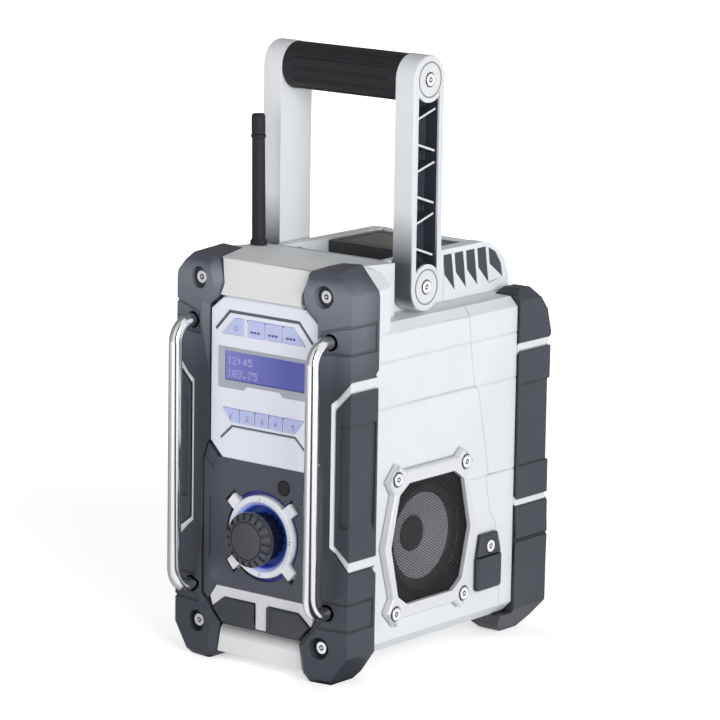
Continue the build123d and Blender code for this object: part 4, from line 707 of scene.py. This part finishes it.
def lathe_x(name, profile, centre, side, material, body):
    """A closed solid of revolution about an X axis, from (x, radius) points."""
    steps = 96
    vertices, faces = [], []
    count = len(profile)
    for step in range(steps):
        angle = math.tau * step / steps
        for x, radius in profile:
            vertices.append((side * x, centre[0] + radius * math.cos(angle),
                             centre[1] + radius * math.sin(angle)))
    for step in range(steps):
        here, there = step * count, (step + 1) % steps * count
        for index in range(count):
            following = (index + 1) % count
            quad = (here + index, here + following, there + following, there + index)
            faces.append(quad if side > 0 else quad[::-1])
    return mesh_piece(name, vertices, faces, material, body, 35)


def speaker_details(side):
    """Cone with its fine rings, dust cap and the rolled surround."""
    label = side_name(side)
    centre = ((CONE_LOW.y + CONE_HIGH.y) / 2, (CONE_LOW.z + CONE_HIGH.z) / 2)
    rim_x = CONE_HIGH.x
    rim_radius = (CONE_HIGH.z - CONE_LOW.z) / 2
    depth = CONE_HIGH.x - CONE_LOW.x
    throat = 13.0 * mm
    sunk = 0.55 * depth
    steps = 26
    front = []
    for index in range(steps + 1):
        share = index / steps
        radius = rim_radius + (throat - rim_radius) * share
        sink = sunk * share ** 1.15
        ripple = 0.12 * mm * math.sin(share * math.pi * 18)
        front.append((rim_x - sink + ripple, radius))
    rear = [(x - 0.7 * mm, radius) for x, radius in reversed(front)]
    cone = lathe_x(f"cone_skin_{label}", front + rear, centre, side, "cone", f"speaker_cone_{label}")
    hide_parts(f"speaker_cone_{label}")
    cap_base, cap_radius, cap_height = rim_x - sunk, throat + 0.4 * mm, 5.0 * mm
    cap_back, pole = cap_base - 0.5 * mm, 0.02 * mm
    arc = 12
    dome = []
    for index in range(arc + 1):
        angle = math.pi / 2 * index / arc
        dome.append((cap_base + cap_height * math.sin(angle), cap_radius * math.cos(angle) + pole))
    dome += [(cap_back, pole), (cap_back, cap_radius)]
    lathe_x(f"dust_cap_{label}", dome, centre, side, "driver", f"speaker_cone_{label}")
    roll_half = 3.6 * mm
    roll_middle = rim_radius + 0.3 * mm + roll_half
    roll_height, roll_foot, roll_back = 1.6 * mm, rim_x - 0.9 * mm, rim_x - 1.6 * mm
    roll = [(roll_back, roll_middle - roll_half)]
    for index in range(arc + 1):
        angle = math.pi * index / arc
        roll.append((roll_foot + roll_height * math.sin(angle), roll_middle - roll_half * math.cos(angle)))
    roll.append((roll_back, roll_middle + roll_half))
    surround = lathe_x(f"surround_{label}", roll, centre, side, "driver", "case")
    baffle(side, centre, roll_middle + roll_half - 0.2 * mm)


def baffle(side, centre, hole):
    """Black felt between the surround and the edge of the wire cloth."""
    polygon = mouth_polygon()
    steps = 96
    face, back = MESH_LOW.x - 0.35 * mm, MESH_LOW.x - 0.85 * mm
    vertices, faces = [], []
    for step in range(steps):
        angle = math.tau * step / steps
        along = (math.cos(angle), math.sin(angle))
        far = (centre[0] + along[0], centre[1] + along[1])
        inside = clipped(centre, far, polygon)
        reach = Vector(inside[1]) - Vector(centre)
        for x in (face, back):
            for radius in (hole, max(reach.length - 0.2 * mm, hole + 0.5 * mm)):
                vertices.append((side * x, centre[0] + along[0] * radius, centre[1] + along[1] * radius))
    for step in range(steps):
        a, b = step * 4, (step + 1) % steps * 4
        faces += [(a, a + 1, b + 1, b), (a + 2, b + 2, b + 3, a + 3), (a, b, b + 2, a + 2),
                  (a + 1, a + 3, b + 3, b + 1)]
    label = side_name(side)
    mesh_piece(f"baffle_{label}", vertices, faces, "felt", "case")


# ================================================================== display
GLYPHS = {
    "0": "01110 10001 10011 10101 11001 10001 01110",
    "1": "00100 01100 00100 00100 00100 00100 01110",
    "2": "01110 10001 00001 00110 01000 10000 11111",
    "3": "11110 00001 00001 01110 00001 00001 11110",
    "4": "00010 00110 01010 10010 11111 00010 00010",
    "5": "11111 10000 11110 00001 00001 10001 01110",
    "7": "11111 00001 00010 00100 01000 01000 01000",
    ".": "00000 00000 00000 00000 00000 01100 01100",
    ":": "00000 01100 01100 00000 01100 01100 00000",
}
LCD_DOT = 0.80 * mm
LCD_INDENT = 2.2 * mm       # window's left edge to the first character
LCD_FIRST_LINE = 2.6 * mm   # window's lower edge to the lower line
LCD_LINE_PITCH = 9.4 * mm
DOT_FILL = 0.88             # share of its place that a dot takes up
LCD_LINES = [("12:45", 1), ("103.75", 0)]


def tile(vertices, faces, x, y, z, width, height, thickness):
    """Adds a thin box whose front lies at y."""
    first = len(vertices)
    for depth in (0.0, thickness):
        for dx, dz in ((0, 0), (width, 0), (width, height), (0, height)):
            vertices.append((x + dx, y + depth, z + dz))
    faces += [(first + 3, first + 2, first + 1, first), (first + 4, first + 5, first + 6, first + 7),
              (first, first + 1, first + 5, first + 4), (first + 1, first + 2, first + 6, first + 5),
              (first + 2, first + 3, first + 7, first + 6), (first + 3, first, first + 4, first + 7)]


def glyph_tiles(vertices, faces, text, left, bottom, y, dot, thickness):
    """Dots of 5 by 7 characters, each dot a small raised tile."""
    for place, letter in enumerate(text):
        for row, bits in enumerate(GLYPHS[letter].split()):
            for column, bit in enumerate(bits):
                if bit == "1":
                    tile(vertices, faces, left + (place * 6 + column) * dot, y, bottom + (6 - row) * dot,
                         dot * DOT_FILL, dot * DOT_FILL, thickness)


def lcd_window_edges():
    """The window's left, right, bottom and top; the lens is a little larger than it."""
    margin = 1.2 * mm
    low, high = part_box("lcd_lens")
    return low.x + margin, high.x - margin, low.z + margin, high.z - margin


def lcd_window():
    """The lit screen just behind its window, with a dark edge of painted shade at the left and below."""
    left, right, bottom, top = lcd_window_edges()
    depth = 1.25 * mm
    vertices, faces = [], []
    tile(vertices, faces, left, PANEL_FACE + depth, bottom, right - left, top - bottom, 2.0 * mm)
    piece = mesh_piece("lcd_window", vertices, faces, "lcd", "case")
    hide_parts("lcd_lens")
    # Painted shade: the dark edge along the window's left and lower rim.
    line = 0.65 * mm
    vertices, faces = [], []
    tile(vertices, faces, left, PANEL_FACE + depth - 0.06 * mm, bottom, line, top - bottom, 0.1 * mm)
    tile(vertices, faces, left + line, PANEL_FACE + depth - 0.06 * mm, bottom, right - left - line, line,
         0.1 * mm)
    mesh_piece("lcd_edge", vertices, faces, "lcd_edge", "case")


def lcd_bezel():
    """The grey frame that slopes from the panel down to the window, with its notch below."""
    left, right, bottom, top = lcd_window_edges()
    side, above, below, notch = 5.75 * mm, 3.05 * mm, 5.75 * mm, 3.2 * mm
    low = bottom - below
    notch_line = [(-18.9 * mm, 0.0), (-15.5 * mm, notch), (14.5 * mm, notch), (17.9 * mm, 0.0)]
    outer = [(left - side, low), *((x, low + rise) for x, rise in notch_line), (right + side, low),
             (right + side, top + above), (left - side, top + above)]
    inner = [(left, bottom), *((x, bottom) for x, rise in notch_line), (right, bottom), (right, top),
             (left, top)]
    vertices, faces = [], []
    band(vertices, faces, outer, inner, PANEL_FACE + 0.15 * mm, PANEL_FACE + 0.93 * mm,
         PANEL_FACE + 0.98 * mm)
    mesh_piece("lcd_bezel", vertices, faces, "bezel", "case", 3)


def inlay(name, apex, foot, foot_z, apex_z, width):
    """A slate line of painted shade over a groove that runs level between the apexes and falls to the feet."""
    line = widened([(-foot, foot_z), (-apex, apex_z), (apex, apex_z), (foot, foot_z)], width)
    vertices, faces = [], []
    face = PANEL_FACE + 0.45 * mm
    band(vertices, faces, *line, face, face, PANEL_FACE + 0.79 * mm, closed=False)
    mesh_piece(name, vertices, faces, "inlay", "case")


def panel_inlays():
    """Slate lines of painted shade in the two grooves around the keys."""
    low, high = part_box(FUNCTION_KEYS[0])
    inlay("upper_groove_shade", 32.3 * mm, 45.3 * mm, low.z + KEY_FLANGE + 2.5 * mm, high.z - KEY_FLANGE + 4.3 * mm,
          2.2 * mm)
    preset_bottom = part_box(PRESET_KEYS[2])[0].z + KEY_FLANGE
    inlay("lower_groove_shade", 29.5 * mm, 40.2 * mm, preset_bottom - 13.0 * mm, preset_bottom - 3.2 * mm, 1.3 * mm)


def lcd_digits():
    """The lit characters, in lines from the lower one up."""
    left, right, bottom, top = lcd_window_edges()
    vertices, faces = [], []
    face_y = PANEL_FACE + 1.2 * mm
    for text, line in LCD_LINES:
        glyph_tiles(vertices, faces, text, left + LCD_INDENT, bottom + LCD_FIRST_LINE + line * LCD_LINE_PITCH,
                    face_y, LCD_DOT, 0.06 * mm)
    mesh_piece("lcd_characters", vertices, faces, "digits", "case")


def key_skirts():
    """A thin collar around each key that fills the gap to the panel, just below its face."""
    collar = 0.26 * mm
    for name in FUNCTION_KEYS + PRESET_KEYS:
        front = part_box(name)[0].y
        corners = {(round(v.co.x, 6), round(v.co.z, 6)) for v in nodes[name].data.vertices
                   if v.co.y < front + 0.01 * mm}
        middle = Vector((sum(x for x, z in corners), sum(z for x, z in corners))) / len(corners)
        ring = sorted((Vector(corner) for corner in corners),
                      key=lambda corner: math.atan2(corner.y - middle.y, corner.x - middle.x))
        count = len(ring)
        outer = []
        for index, corner in enumerate(ring):
            before = (corner - ring[index - 1]).normalized()
            after = (ring[(index + 1) % count] - corner).normalized()
            normals = Vector((before.y, -before.x)), Vector((after.y, -after.x))
            bisector = (normals[0] + normals[1]).normalized()
            outer.append(tuple(corner + bisector * collar / max(bisector.dot(normals[0]), 0.5)))
        vertices, faces = [], []
        face = PANEL_FACE + 0.35 * mm
        band(vertices, faces, outer, [tuple(corner) for corner in ring], face, face, face + 0.5 * mm)
        mesh_piece(f"{name}_collar", vertices, faces, "key", name)


def key_lamps():
    """A small dark lamp at the head of the web between each two keys of a row."""
    vertices, faces = [], []
    width, height, gap = 1.0 * mm, 1.2 * mm, 0.45 * mm
    for name in FUNCTION_KEYS[1:] + PRESET_KEYS[1:]:
        low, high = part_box(name)
        tile(vertices, faces, low.x - gap - width, PANEL_FACE - HAIR, high.z - KEY_FLANGE - height, width,
             height, 0.1 * mm)
    mesh_piece("key_lamps", vertices, faces, "socket", "case")


def cover_lips():
    """The rubber lip of each front cover that reaches over the gap beside the middle post."""
    post_half, clearance = 5.6 * mm, 0.35 * mm
    for side in (-1, 1):
        label = side_name(side)
        low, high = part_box(f"port_cover_{label}")
        edge = low.x if side > 0 else -high.x
        inner, outer = post_half + clearance, edge + 0.4 * mm
        left = inner if side > 0 else -outer
        vertices, faces = [], []
        tile(vertices, faces, left, low.y + 0.35 * mm, low.z + 0.3 * mm, outer - inner,
             high.z - low.z - 0.6 * mm, 0.9 * mm)
        piece = mesh_piece(f"cover_lip_{label}", vertices, faces, "cover", f"port_cover_{label}")


def plate_seal():
    """The pale seal in the joint between the painted plate and the display panel."""
    panel_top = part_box("display_panel")[1].z
    half = 35.0 * mm
    vertices, faces = [], []
    tile(vertices, faces, -half, PANEL_FACE + 0.7 * mm, panel_top - 0.5 * mm, 2 * half, 0.85 * mm, 4.0 * mm)
    mesh_piece("plate_seal", vertices, faces, "display", "case")


def key_marks():
    """Plain numbers on the preset keys and simple marks on the function keys."""
    proud, thickness = 0.04 * mm, 0.06 * mm
    for number, name in enumerate(PRESET_KEYS, 1):
        low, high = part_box(name)
        vertices, faces = [], []
        centre_x = (low.x + high.x) / 2
        glyph_tiles(vertices, faces, str(number), centre_x - 1.2 * mm, low.z + 3.6 * mm, low.y - proud,
                    0.52 * mm, thickness)
        piece = mesh_piece(f"preset_number_{number}", vertices, faces, "print_blue", name)
    low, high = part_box(FUNCTION_KEYS[0])
    power_mark(Vector(((low.x + high.x) / 2 + 3 * mm, low.y, (low.z + high.z) / 2 - 1.0 * mm)))
    bar_pitch, bar_width, bar_height = 3.1 * mm, 2.4 * mm, 1.5 * mm
    for number, name in enumerate(FUNCTION_KEYS[1:], 2):
        low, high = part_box(name)
        vertices, faces = [], []
        left = low.x + 2.6 * mm
        for bar in range(3):
            tile(vertices, faces, left + bar * bar_pitch, low.y - proud, low.z + 4.4 * mm, bar_width,
                 bar_height, thickness)
        piece = mesh_piece(f"function_mark_{number}", vertices, faces, "print_blue", name)


def power_mark(centre):
    """An open ring with a stroke."""
    vertices, faces = [], []
    steps, outer, inner = 24, 1.9 * mm, 1.5 * mm
    for step in range(steps + 1):
        angle = math.radians(120 + 300 * step / steps)
        for radius in (inner, outer):
            for depth in (-0.04 * mm, 0.02 * mm):
                vertices.append((centre.x + radius * math.cos(angle), centre.y + depth,
                                 centre.z + radius * math.sin(angle)))
    for step in range(steps):
        a, b = step * 4, step * 4 + 4
        faces += [(a, b, b + 2, a + 2), (a + 1, a + 3, b + 3, b + 1), (a, a + 1, b + 1, b),
                  (a + 2, b + 2, b + 3, a + 3)]
    faces += [(0, 2, 3, 1), (steps * 4, steps * 4 + 1, steps * 4 + 3, steps * 4 + 2)]
    tile(vertices, faces, centre.x - 0.2 * mm, centre.y - 0.04 * mm, centre.z + 0.6 * mm, 0.4 * mm, 1.6 * mm,
         0.06 * mm)
    piece = mesh_piece("power_mark", vertices, faces, "print_blue", "function_button_1")


# ================================================================== dial, screws and vents
def volume_knob():
    """The knob: flat disc with a groove around it, notched sloping rim and fluted body."""
    radius = (KNOB_HIGH.x - KNOB_LOW.x) / 2
    face, root = KNOB_LOW.y, KNOB_HIGH.y
    disc, root_radius = 13.6 * mm, 17.6 * mm
    rim = [(0.01 * mm, 0.0), (disc - 0.5 * mm, 0.0), (disc - 0.1 * mm, 0.15 * mm),
           (disc + 0.1 * mm, 0.9 * mm), (disc + 0.5 * mm, 0.9 * mm), (disc + 0.7 * mm, 0.25 * mm),
           (disc + 1.6 * mm, 0.3 * mm), (disc + 2.0 * mm, 0.45 * mm), (radius - 1.0 * mm, 1.9 * mm),
           (radius - 0.2 * mm, 2.7 * mm), (radius, 3.4 * mm), (radius, 7.4 * mm)]
    body = [(radius - 1.3 * mm, 8.6 * mm), (radius - 1.5 * mm, 9.6 * mm), (root_radius, root - face),
            (0.01 * mm, root - face)]
    profile = rim + body
    flutes, steps = 18, 360
    vertices, faces = [], []
    for step in range(steps):
        angle = math.tau * step / steps
        phase = (step % (steps // flutes)) / (steps // flutes)
        notch = 0.30 < phase < 0.70
        swell = math.sin(math.pi * phase) ** 2
        for index, (reach, depth) in enumerate(profile):
            if index in (7, 8) and notch:
                depth += 1.6 * mm
            if index in (len(rim) + 1, len(rim) + 2):
                reach -= 1.2 * mm * swell
            vertices.append((reach * math.sin(angle), face + depth, DIAL_CENTRE.z + reach * math.cos(angle)))
    count = len(profile)
    for step in range(steps):
        after = (step + 1) % steps
        for index in range(count - 1):
            faces.append((step * count + index, after * count + index, after * count + index + 1,
                          step * count + index + 1))
    faces.append(tuple(step * count for step in range(steps)))
    faces.append(tuple(step * count + count - 1 for step in range(steps))[::-1])
    piece = mesh_piece("volume_knob_fluted", vertices, faces, "knob", "volume_knob", 35)
    piece.data.materials.append(MATERIALS["knob_body"])
    for polygon in piece.data.polygons:
        if polygon.center.y > face + 8.0 * mm:
            polygon.material_index = 1
    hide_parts("volume_knob")


def dial_details():
    """Blue floor between knob and ring, glowing with painted blue light of the light ring, and the short marks on
    the ring.
    """
    vertices, faces = [], []
    floor_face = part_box("light_ring")[1].y - 0.45 * mm
    ring_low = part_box("dial_ring")[0]
    ring_plate(vertices, faces, (0.0, floor_face, DIAL_CENTRE.z), 1, -1, 6.0 * mm, 21.9 * mm, 0.4 * mm, 96)
    mesh_piece("dial_floor", vertices, faces, "glow_inner", "case", 40)
    vertices, faces = [], []
    for angle in (90, 0, 270):
        turn = math.radians(angle)
        out = Vector((math.cos(turn), math.sin(turn)))
        side = Vector((-out.y, out.x))
        for shift in (-0.9 * mm, 0.9 * mm) if angle != 90 else (0.6 * mm,):
            line = [tuple(Vector((0, DIAL_CENTRE.z)) + out * reach + side * shift)
                    for reach in (26.6 * mm, 29.0 * mm)]
            edges = widened(line, 0.6 * mm)
            band(vertices, faces, *edges, ring_low.y - HAIR, ring_low.y - HAIR, ring_low.y + 0.1 * mm,
                 closed=False)
    mesh_piece("dial_marks", vertices, faces, "mark", "case")


def islands(mesh):
    """The separate solids of a mesh as lists of vertex places."""
    work = bmesh.new()
    work.from_mesh(mesh)
    bmesh.ops.remove_doubles(work, verts=work.verts, dist=MERGE_DISTANCE)
    left = set(work.verts)
    groups = []
    while left:
        edge_of_group = [left.pop()]
        group = []
        while edge_of_group:
            vertex = edge_of_group.pop()
            group.append(vertex.co.copy())
            for edge in vertex.link_edges:
                other = edge.other_vert(vertex)
                if other in left:
                    left.remove(other)
                    edge_of_group.append(other)
        groups.append(group)
    work.free()
    return groups


# inner and outer radius, depth below the head's face, sides and material of what a screw shows
# The dark sockets and wells are painted shade in the holes; the glints are bare steel.
SCREW_RINGS = {
    "socket_shades": (0.0, 2.3, 0.15, 6, "socket"),
    "glints": (0.0, 0.85, 0.09, 20, "steel"),
    "well_shades": (4.62, 5.45, 1.2, 40, "socket"),
}


def screw_details():
    """Painted shade: a dark hexagon in every screw's socket, with a glint of steel on it, and a dark ring in the
    well around the heads on the sides.
    """
    for name, body in (("case_screws", "case"), ("handle_screws", "handle")):
        meshes = {label: ([], []) for label in SCREW_RINGS}
        for group in islands(nodes[name].data):
            low = Vector([min(point[i] for point in group) for i in range(3)])
            high = Vector([max(point[i] for point in group) for i in range(3)])
            axis = 0 if high.x - low.x > high.y - low.y else 1
            middle = (low + high) / 2
            outward = -1 if axis == 1 or middle.x < 0 else 1
            centre = list(middle)
            centre[axis] = high[axis] if outward > 0 else low[axis]
            for label, (inner, outer, sink, steps, material) in SCREW_RINGS.items():
                if label == "well_shades" and axis == 1:
                    continue
                place = list(centre)
                place[axis] -= outward * sink * mm
                ring_plate(*meshes[label], place, axis, outward, inner * mm, outer * mm, 0.05 * mm, steps)
        for label, (vertices, faces) in meshes.items():
            material = SCREW_RINGS[label][-1]
            mesh_piece(f"{name}_{label}", vertices, faces, material, body)


VENT_FRONT = 36.05 * mm
VENT_PITCH = 13.85
VENT_COUNT = 4
UPPER_WALL = ARM_HIGH.x - 18.7 * mm


def vent_inserts():
    """Slate cloth just inside every vent slot, whose outlines are given from the first slot's corner."""
    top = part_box("rear_housing")[1].z - 4.2 * mm
    slot = [(0.0, 0.0), (10.3, 0.0), (14.9, -27.5), (2.0, -14.5)]
    outlines = [[(y + index * VENT_PITCH, z) for y, z in slot] for index in range(VENT_COUNT)]
    start = VENT_COUNT * VENT_PITCH
    outlines.append([(start, -0.8), (start + 9.0, -5.5), (start + 16.0, -15.0), (start + 18.0, -25.0),
                     (start + 2.0, -13.5)])
    for side, label in ((1, "right"), (-1, "left")):
        vertices, faces = [], []
        for outline in outlines:
            first = len(vertices)
            for x in (UPPER_WALL - 0.7 * mm, UPPER_WALL - 2.4 * mm):
                vertices += [(side * x, VENT_FRONT + y * mm, top + z * mm) for y, z in outline]
            count = len(outline)
            faces.append(tuple(range(first, first + count)))
            faces.append(tuple(range(first + count, first + 2 * count))[::-1])
            for corner in range(count):
                after = (corner + 1) % count
                faces.append((first + corner, first + after, first + count + after, first + count + corner))
        mesh_piece(f"vent_cloth_{label}", vertices, faces, "slate", "case")


# ================================================================== guard bars and antenna
def smooth_bar(side):
    """The bent bar as one fine tube along straight runs and arcs, read from the node's own box."""
    label = side_name(side)
    radius = (BAR_HIGH.x - BAR_LOW.x) / 2
    bend = 15.0 * mm
    axis_x = side * (BAR_HIGH.x + BAR_LOW.x) / 2
    axis_y = BAR_LOW.y + radius
    top, bottom = BAR_HIGH.z - radius, BAR_LOW.z + radius
    path = [(BAR_HIGH.y, top, 0.0)]
    steps = 16
    for step in range(steps + 1):
        angle = math.pi / 2 * step / steps
        path.append((axis_y + bend - bend * math.sin(angle), top - bend + bend * math.cos(angle), angle))
    for step in range(steps + 1):
        angle = math.pi / 2 * (1 + step / steps)
        path.append((axis_y + bend - bend * math.sin(angle), bottom + bend + bend * math.cos(angle), angle))
    path.append((BAR_HIGH.y, bottom, math.pi))
    ring = 40
    vertices, faces = [], []
    for y, z, heading in path:
        for turn in range(ring):
            angle = math.tau * turn / ring
            across = radius * math.sin(angle)
            vertices.append((axis_x + radius * math.cos(angle), y - across * math.sin(heading),
                             z + across * math.cos(heading)))
    for index in range(len(path) - 1):
        for turn in range(ring):
            after = (turn + 1) % ring
            a, b = index * ring, (index + 1) * ring
            faces.append((a + turn, a + after, b + after, b + turn))
    faces.append(tuple(range(ring))[::-1])
    last = (len(path) - 1) * ring
    faces.append(tuple(range(last, last + ring)))
    piece = mesh_piece(f"chrome_bar_{label}", vertices, faces, "chrome", "case", 50)
    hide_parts(f"guard_bar_{label}")


# ================================================================== stage
def add_lamps():
    target = Vector((0.0, 0.0, 0.2))
    for name, azimuth, elevation, level in LAMPS:
        turn, rise = math.radians(azimuth), math.radians(elevation)
        away = Vector((math.sin(turn) * math.cos(rise), -math.cos(turn) * math.cos(rise), math.sin(rise)))
        lamp = bpy.data.lights.new(name, "AREA")
        lamp.shape = "SQUARE"
        lamp.size = LAMP_SIZE
        lamp.energy = level * (math.pi * LAMP_DISTANCE) ** 2
        holder = link(bpy.data.objects.new(name, lamp))
        holder.location = target + away * LAMP_DISTANCE
        holder.rotation_euler = (-away).to_track_quat("-Z", "Y").to_euler()
        holder.visible_camera = False
        holder.visible_glossy = name == "key_lamp"


def seen_ray(tree):
    """1 for rays from the camera and for those seen in or through gloss and glass."""
    path = add_node(tree, "ShaderNodeLightPath")
    through = math_node(tree, "MAXIMUM", path.outputs["Is Camera Ray"], path.outputs["Is Transmission Ray"])
    return math_node(tree, "MAXIMUM", through, path.outputs["Is Glossy Ray"])


def studio_white(tree, coordinate):
    """White, but for gloss it has the dark sectors of a studio, as seen from the middle of the floor."""
    split = add_node(tree, "ShaderNodeSeparateXYZ")
    tree.links.new(add_node(tree, "ShaderNodeTexCoord").outputs[coordinate], split.inputs["Vector"])
    ahead = math_node(tree, "MULTIPLY", split.outputs["Y"], -1.0)
    azimuth = math_node(tree, "ARCTAN2", split.outputs["X"], ahead)
    stops = [(angle / 360 + 0.5, (level, level, level)) for angle, level in STUDIO_REFLECTION]
    brightness = colour_ramp(tree, remap(tree, azimuth, -math.pi, math.pi, 0, 1), stops)
    path = add_node(tree, "ShaderNodeLightPath")
    dark = math_node(tree, "SUBTRACT", 1.0, brightness)
    return math_node(tree, "SUBTRACT", 1.0, math_node(tree, "MULTIPLY", dark, path.outputs["Is Glossy Ray"]))


def add_world():
    world = bpy.data.worlds.new("pale_studio")
    bpy.context.scene.world = world
    world.use_nodes = True
    tree = world.node_tree
    sky = tree.nodes["Background"]
    split = add_node(tree, "ShaderNodeSeparateXYZ")
    tree.links.new(add_node(tree, "ShaderNodeTexCoord").outputs["Generated"], split.inputs["Vector"])
    tree.links.new(remap(tree, split.outputs["Z"], 0, 1, SKY_AT_HORIZON, SKY_AT_ZENITH),
                   sky.inputs["Strength"])
    sky.inputs["Color"].default_value = (0.97, 0.98, 1.0, 1.0)
    white = add_node(tree, "ShaderNodeBackground", Color=(1.0, 1.0, 1.0, 1.0))
    tree.links.new(studio_white(tree, "Generated"), white.inputs["Strength"])
    mix = add_node(tree, "ShaderNodeMixShader")
    tree.links.new(seen_ray(tree), mix.inputs["Fac"])
    tree.links.new(sky.outputs["Background"], mix.inputs[1])
    tree.links.new(white.outputs["Background"], mix.inputs[2])
    tree.links.new(mix.outputs["Shader"], tree.nodes["World Output"].inputs["Surface"])


def add_floor():
    half = 6.0
    mesh = bpy.data.meshes.new("floor")
    corners = [(-half, -half, 0), (half, -half, 0), (half, half, 0), (-half, half, 0)]
    mesh.from_pydata(corners, [], [(0, 1, 2, 3)])
    material, tree, shader = shader_material("floor_white")
    shader.inputs["Base Color"].default_value = (0.93, 0.93, 0.93, 1.0)
    shader.inputs["Roughness"].default_value = 1.0
    shader.inputs["Specular IOR Level"].default_value = 0.0
    glow = add_node(tree, "ShaderNodeEmission")
    distance = add_node(tree, "ShaderNodeVectorMath", operation="LENGTH")
    tree.links.new(add_node(tree, "ShaderNodeTexCoord").outputs["Object"], distance.inputs["Vector"])
    tree.links.new(remap(tree, distance.outputs["Value"], 0.5, 2.0, FLOOR_GLOW_NEAR, FLOOR_GLOW_FAR),
                   glow.inputs["Strength"])
    total = add_node(tree, "ShaderNodeAddShader")
    tree.links.new(shader.outputs["BSDF"], total.inputs[0])
    tree.links.new(glow.outputs["Emission"], total.inputs[1])
    seen = add_node(tree, "ShaderNodeMixShader")
    tree.links.new(seen_ray(tree), seen.inputs["Fac"])
    tree.links.new(shader.outputs["BSDF"], seen.inputs[1])
    tree.links.new(total.outputs["Shader"], seen.inputs[2])
    black = add_node(tree, "ShaderNodeEmission", Strength=0.0)
    sectors = add_node(tree, "ShaderNodeMixShader")
    tree.links.new(studio_white(tree, "Object"), sectors.inputs["Fac"])
    tree.links.new(black.outputs["Emission"], sectors.inputs[1])
    tree.links.new(seen.outputs["Shader"], sectors.inputs[2])
    tree.links.new(sectors.outputs["Shader"], tree.nodes["Material Output"].inputs["Surface"])
    mesh.materials.append(material)
    floor = link(bpy.data.objects.new("floor", mesh))


def add_camera():
    azimuth, elevation, roll = (math.radians(a) for a in (CAMERA_AZIMUTH, CAMERA_ELEVATION, CAMERA_ROLL))
    back = Vector((math.sin(azimuth) * math.cos(elevation), -math.cos(azimuth) * math.cos(elevation),
                   math.sin(elevation)))
    right = Vector((0, 0, 1)).cross(back).normalized()
    up = back.cross(right)
    turned_right = math.cos(roll) * right + math.sin(roll) * up
    turned_up = math.cos(roll) * up - math.sin(roll) * right
    place = Matrix((turned_right, turned_up, back)).transposed().to_4x4()
    place.translation = CAMERA_PLACE
    lens = bpy.data.cameras.new("photo_camera")
    lens.lens = CAMERA_LENS
    lens.sensor_width = 36.0
    lens.clip_end = 50.0
    camera = link(bpy.data.objects.new("photo_camera", lens))
    camera.matrix_world = place
    bpy.context.scene.camera = camera


def main():
    add_camera()
    add_world()
    add_lamps()
    add_floor()
    dress_nodes()
    for side in (1, -1):
        wire_mesh(side)
        speaker_details(side)
        smooth_bar(side)
    lcd_window()
    lcd_bezel()
    lcd_digits()
    panel_inlays()
    plate_seal()
    key_marks()
    key_skirts()
    key_lamps()
    cover_lips()
    volume_knob()
    dial_details()
    screw_details()
    vent_inserts()
    bpy.context.scene.view_settings.view_transform = "Standard"


main()
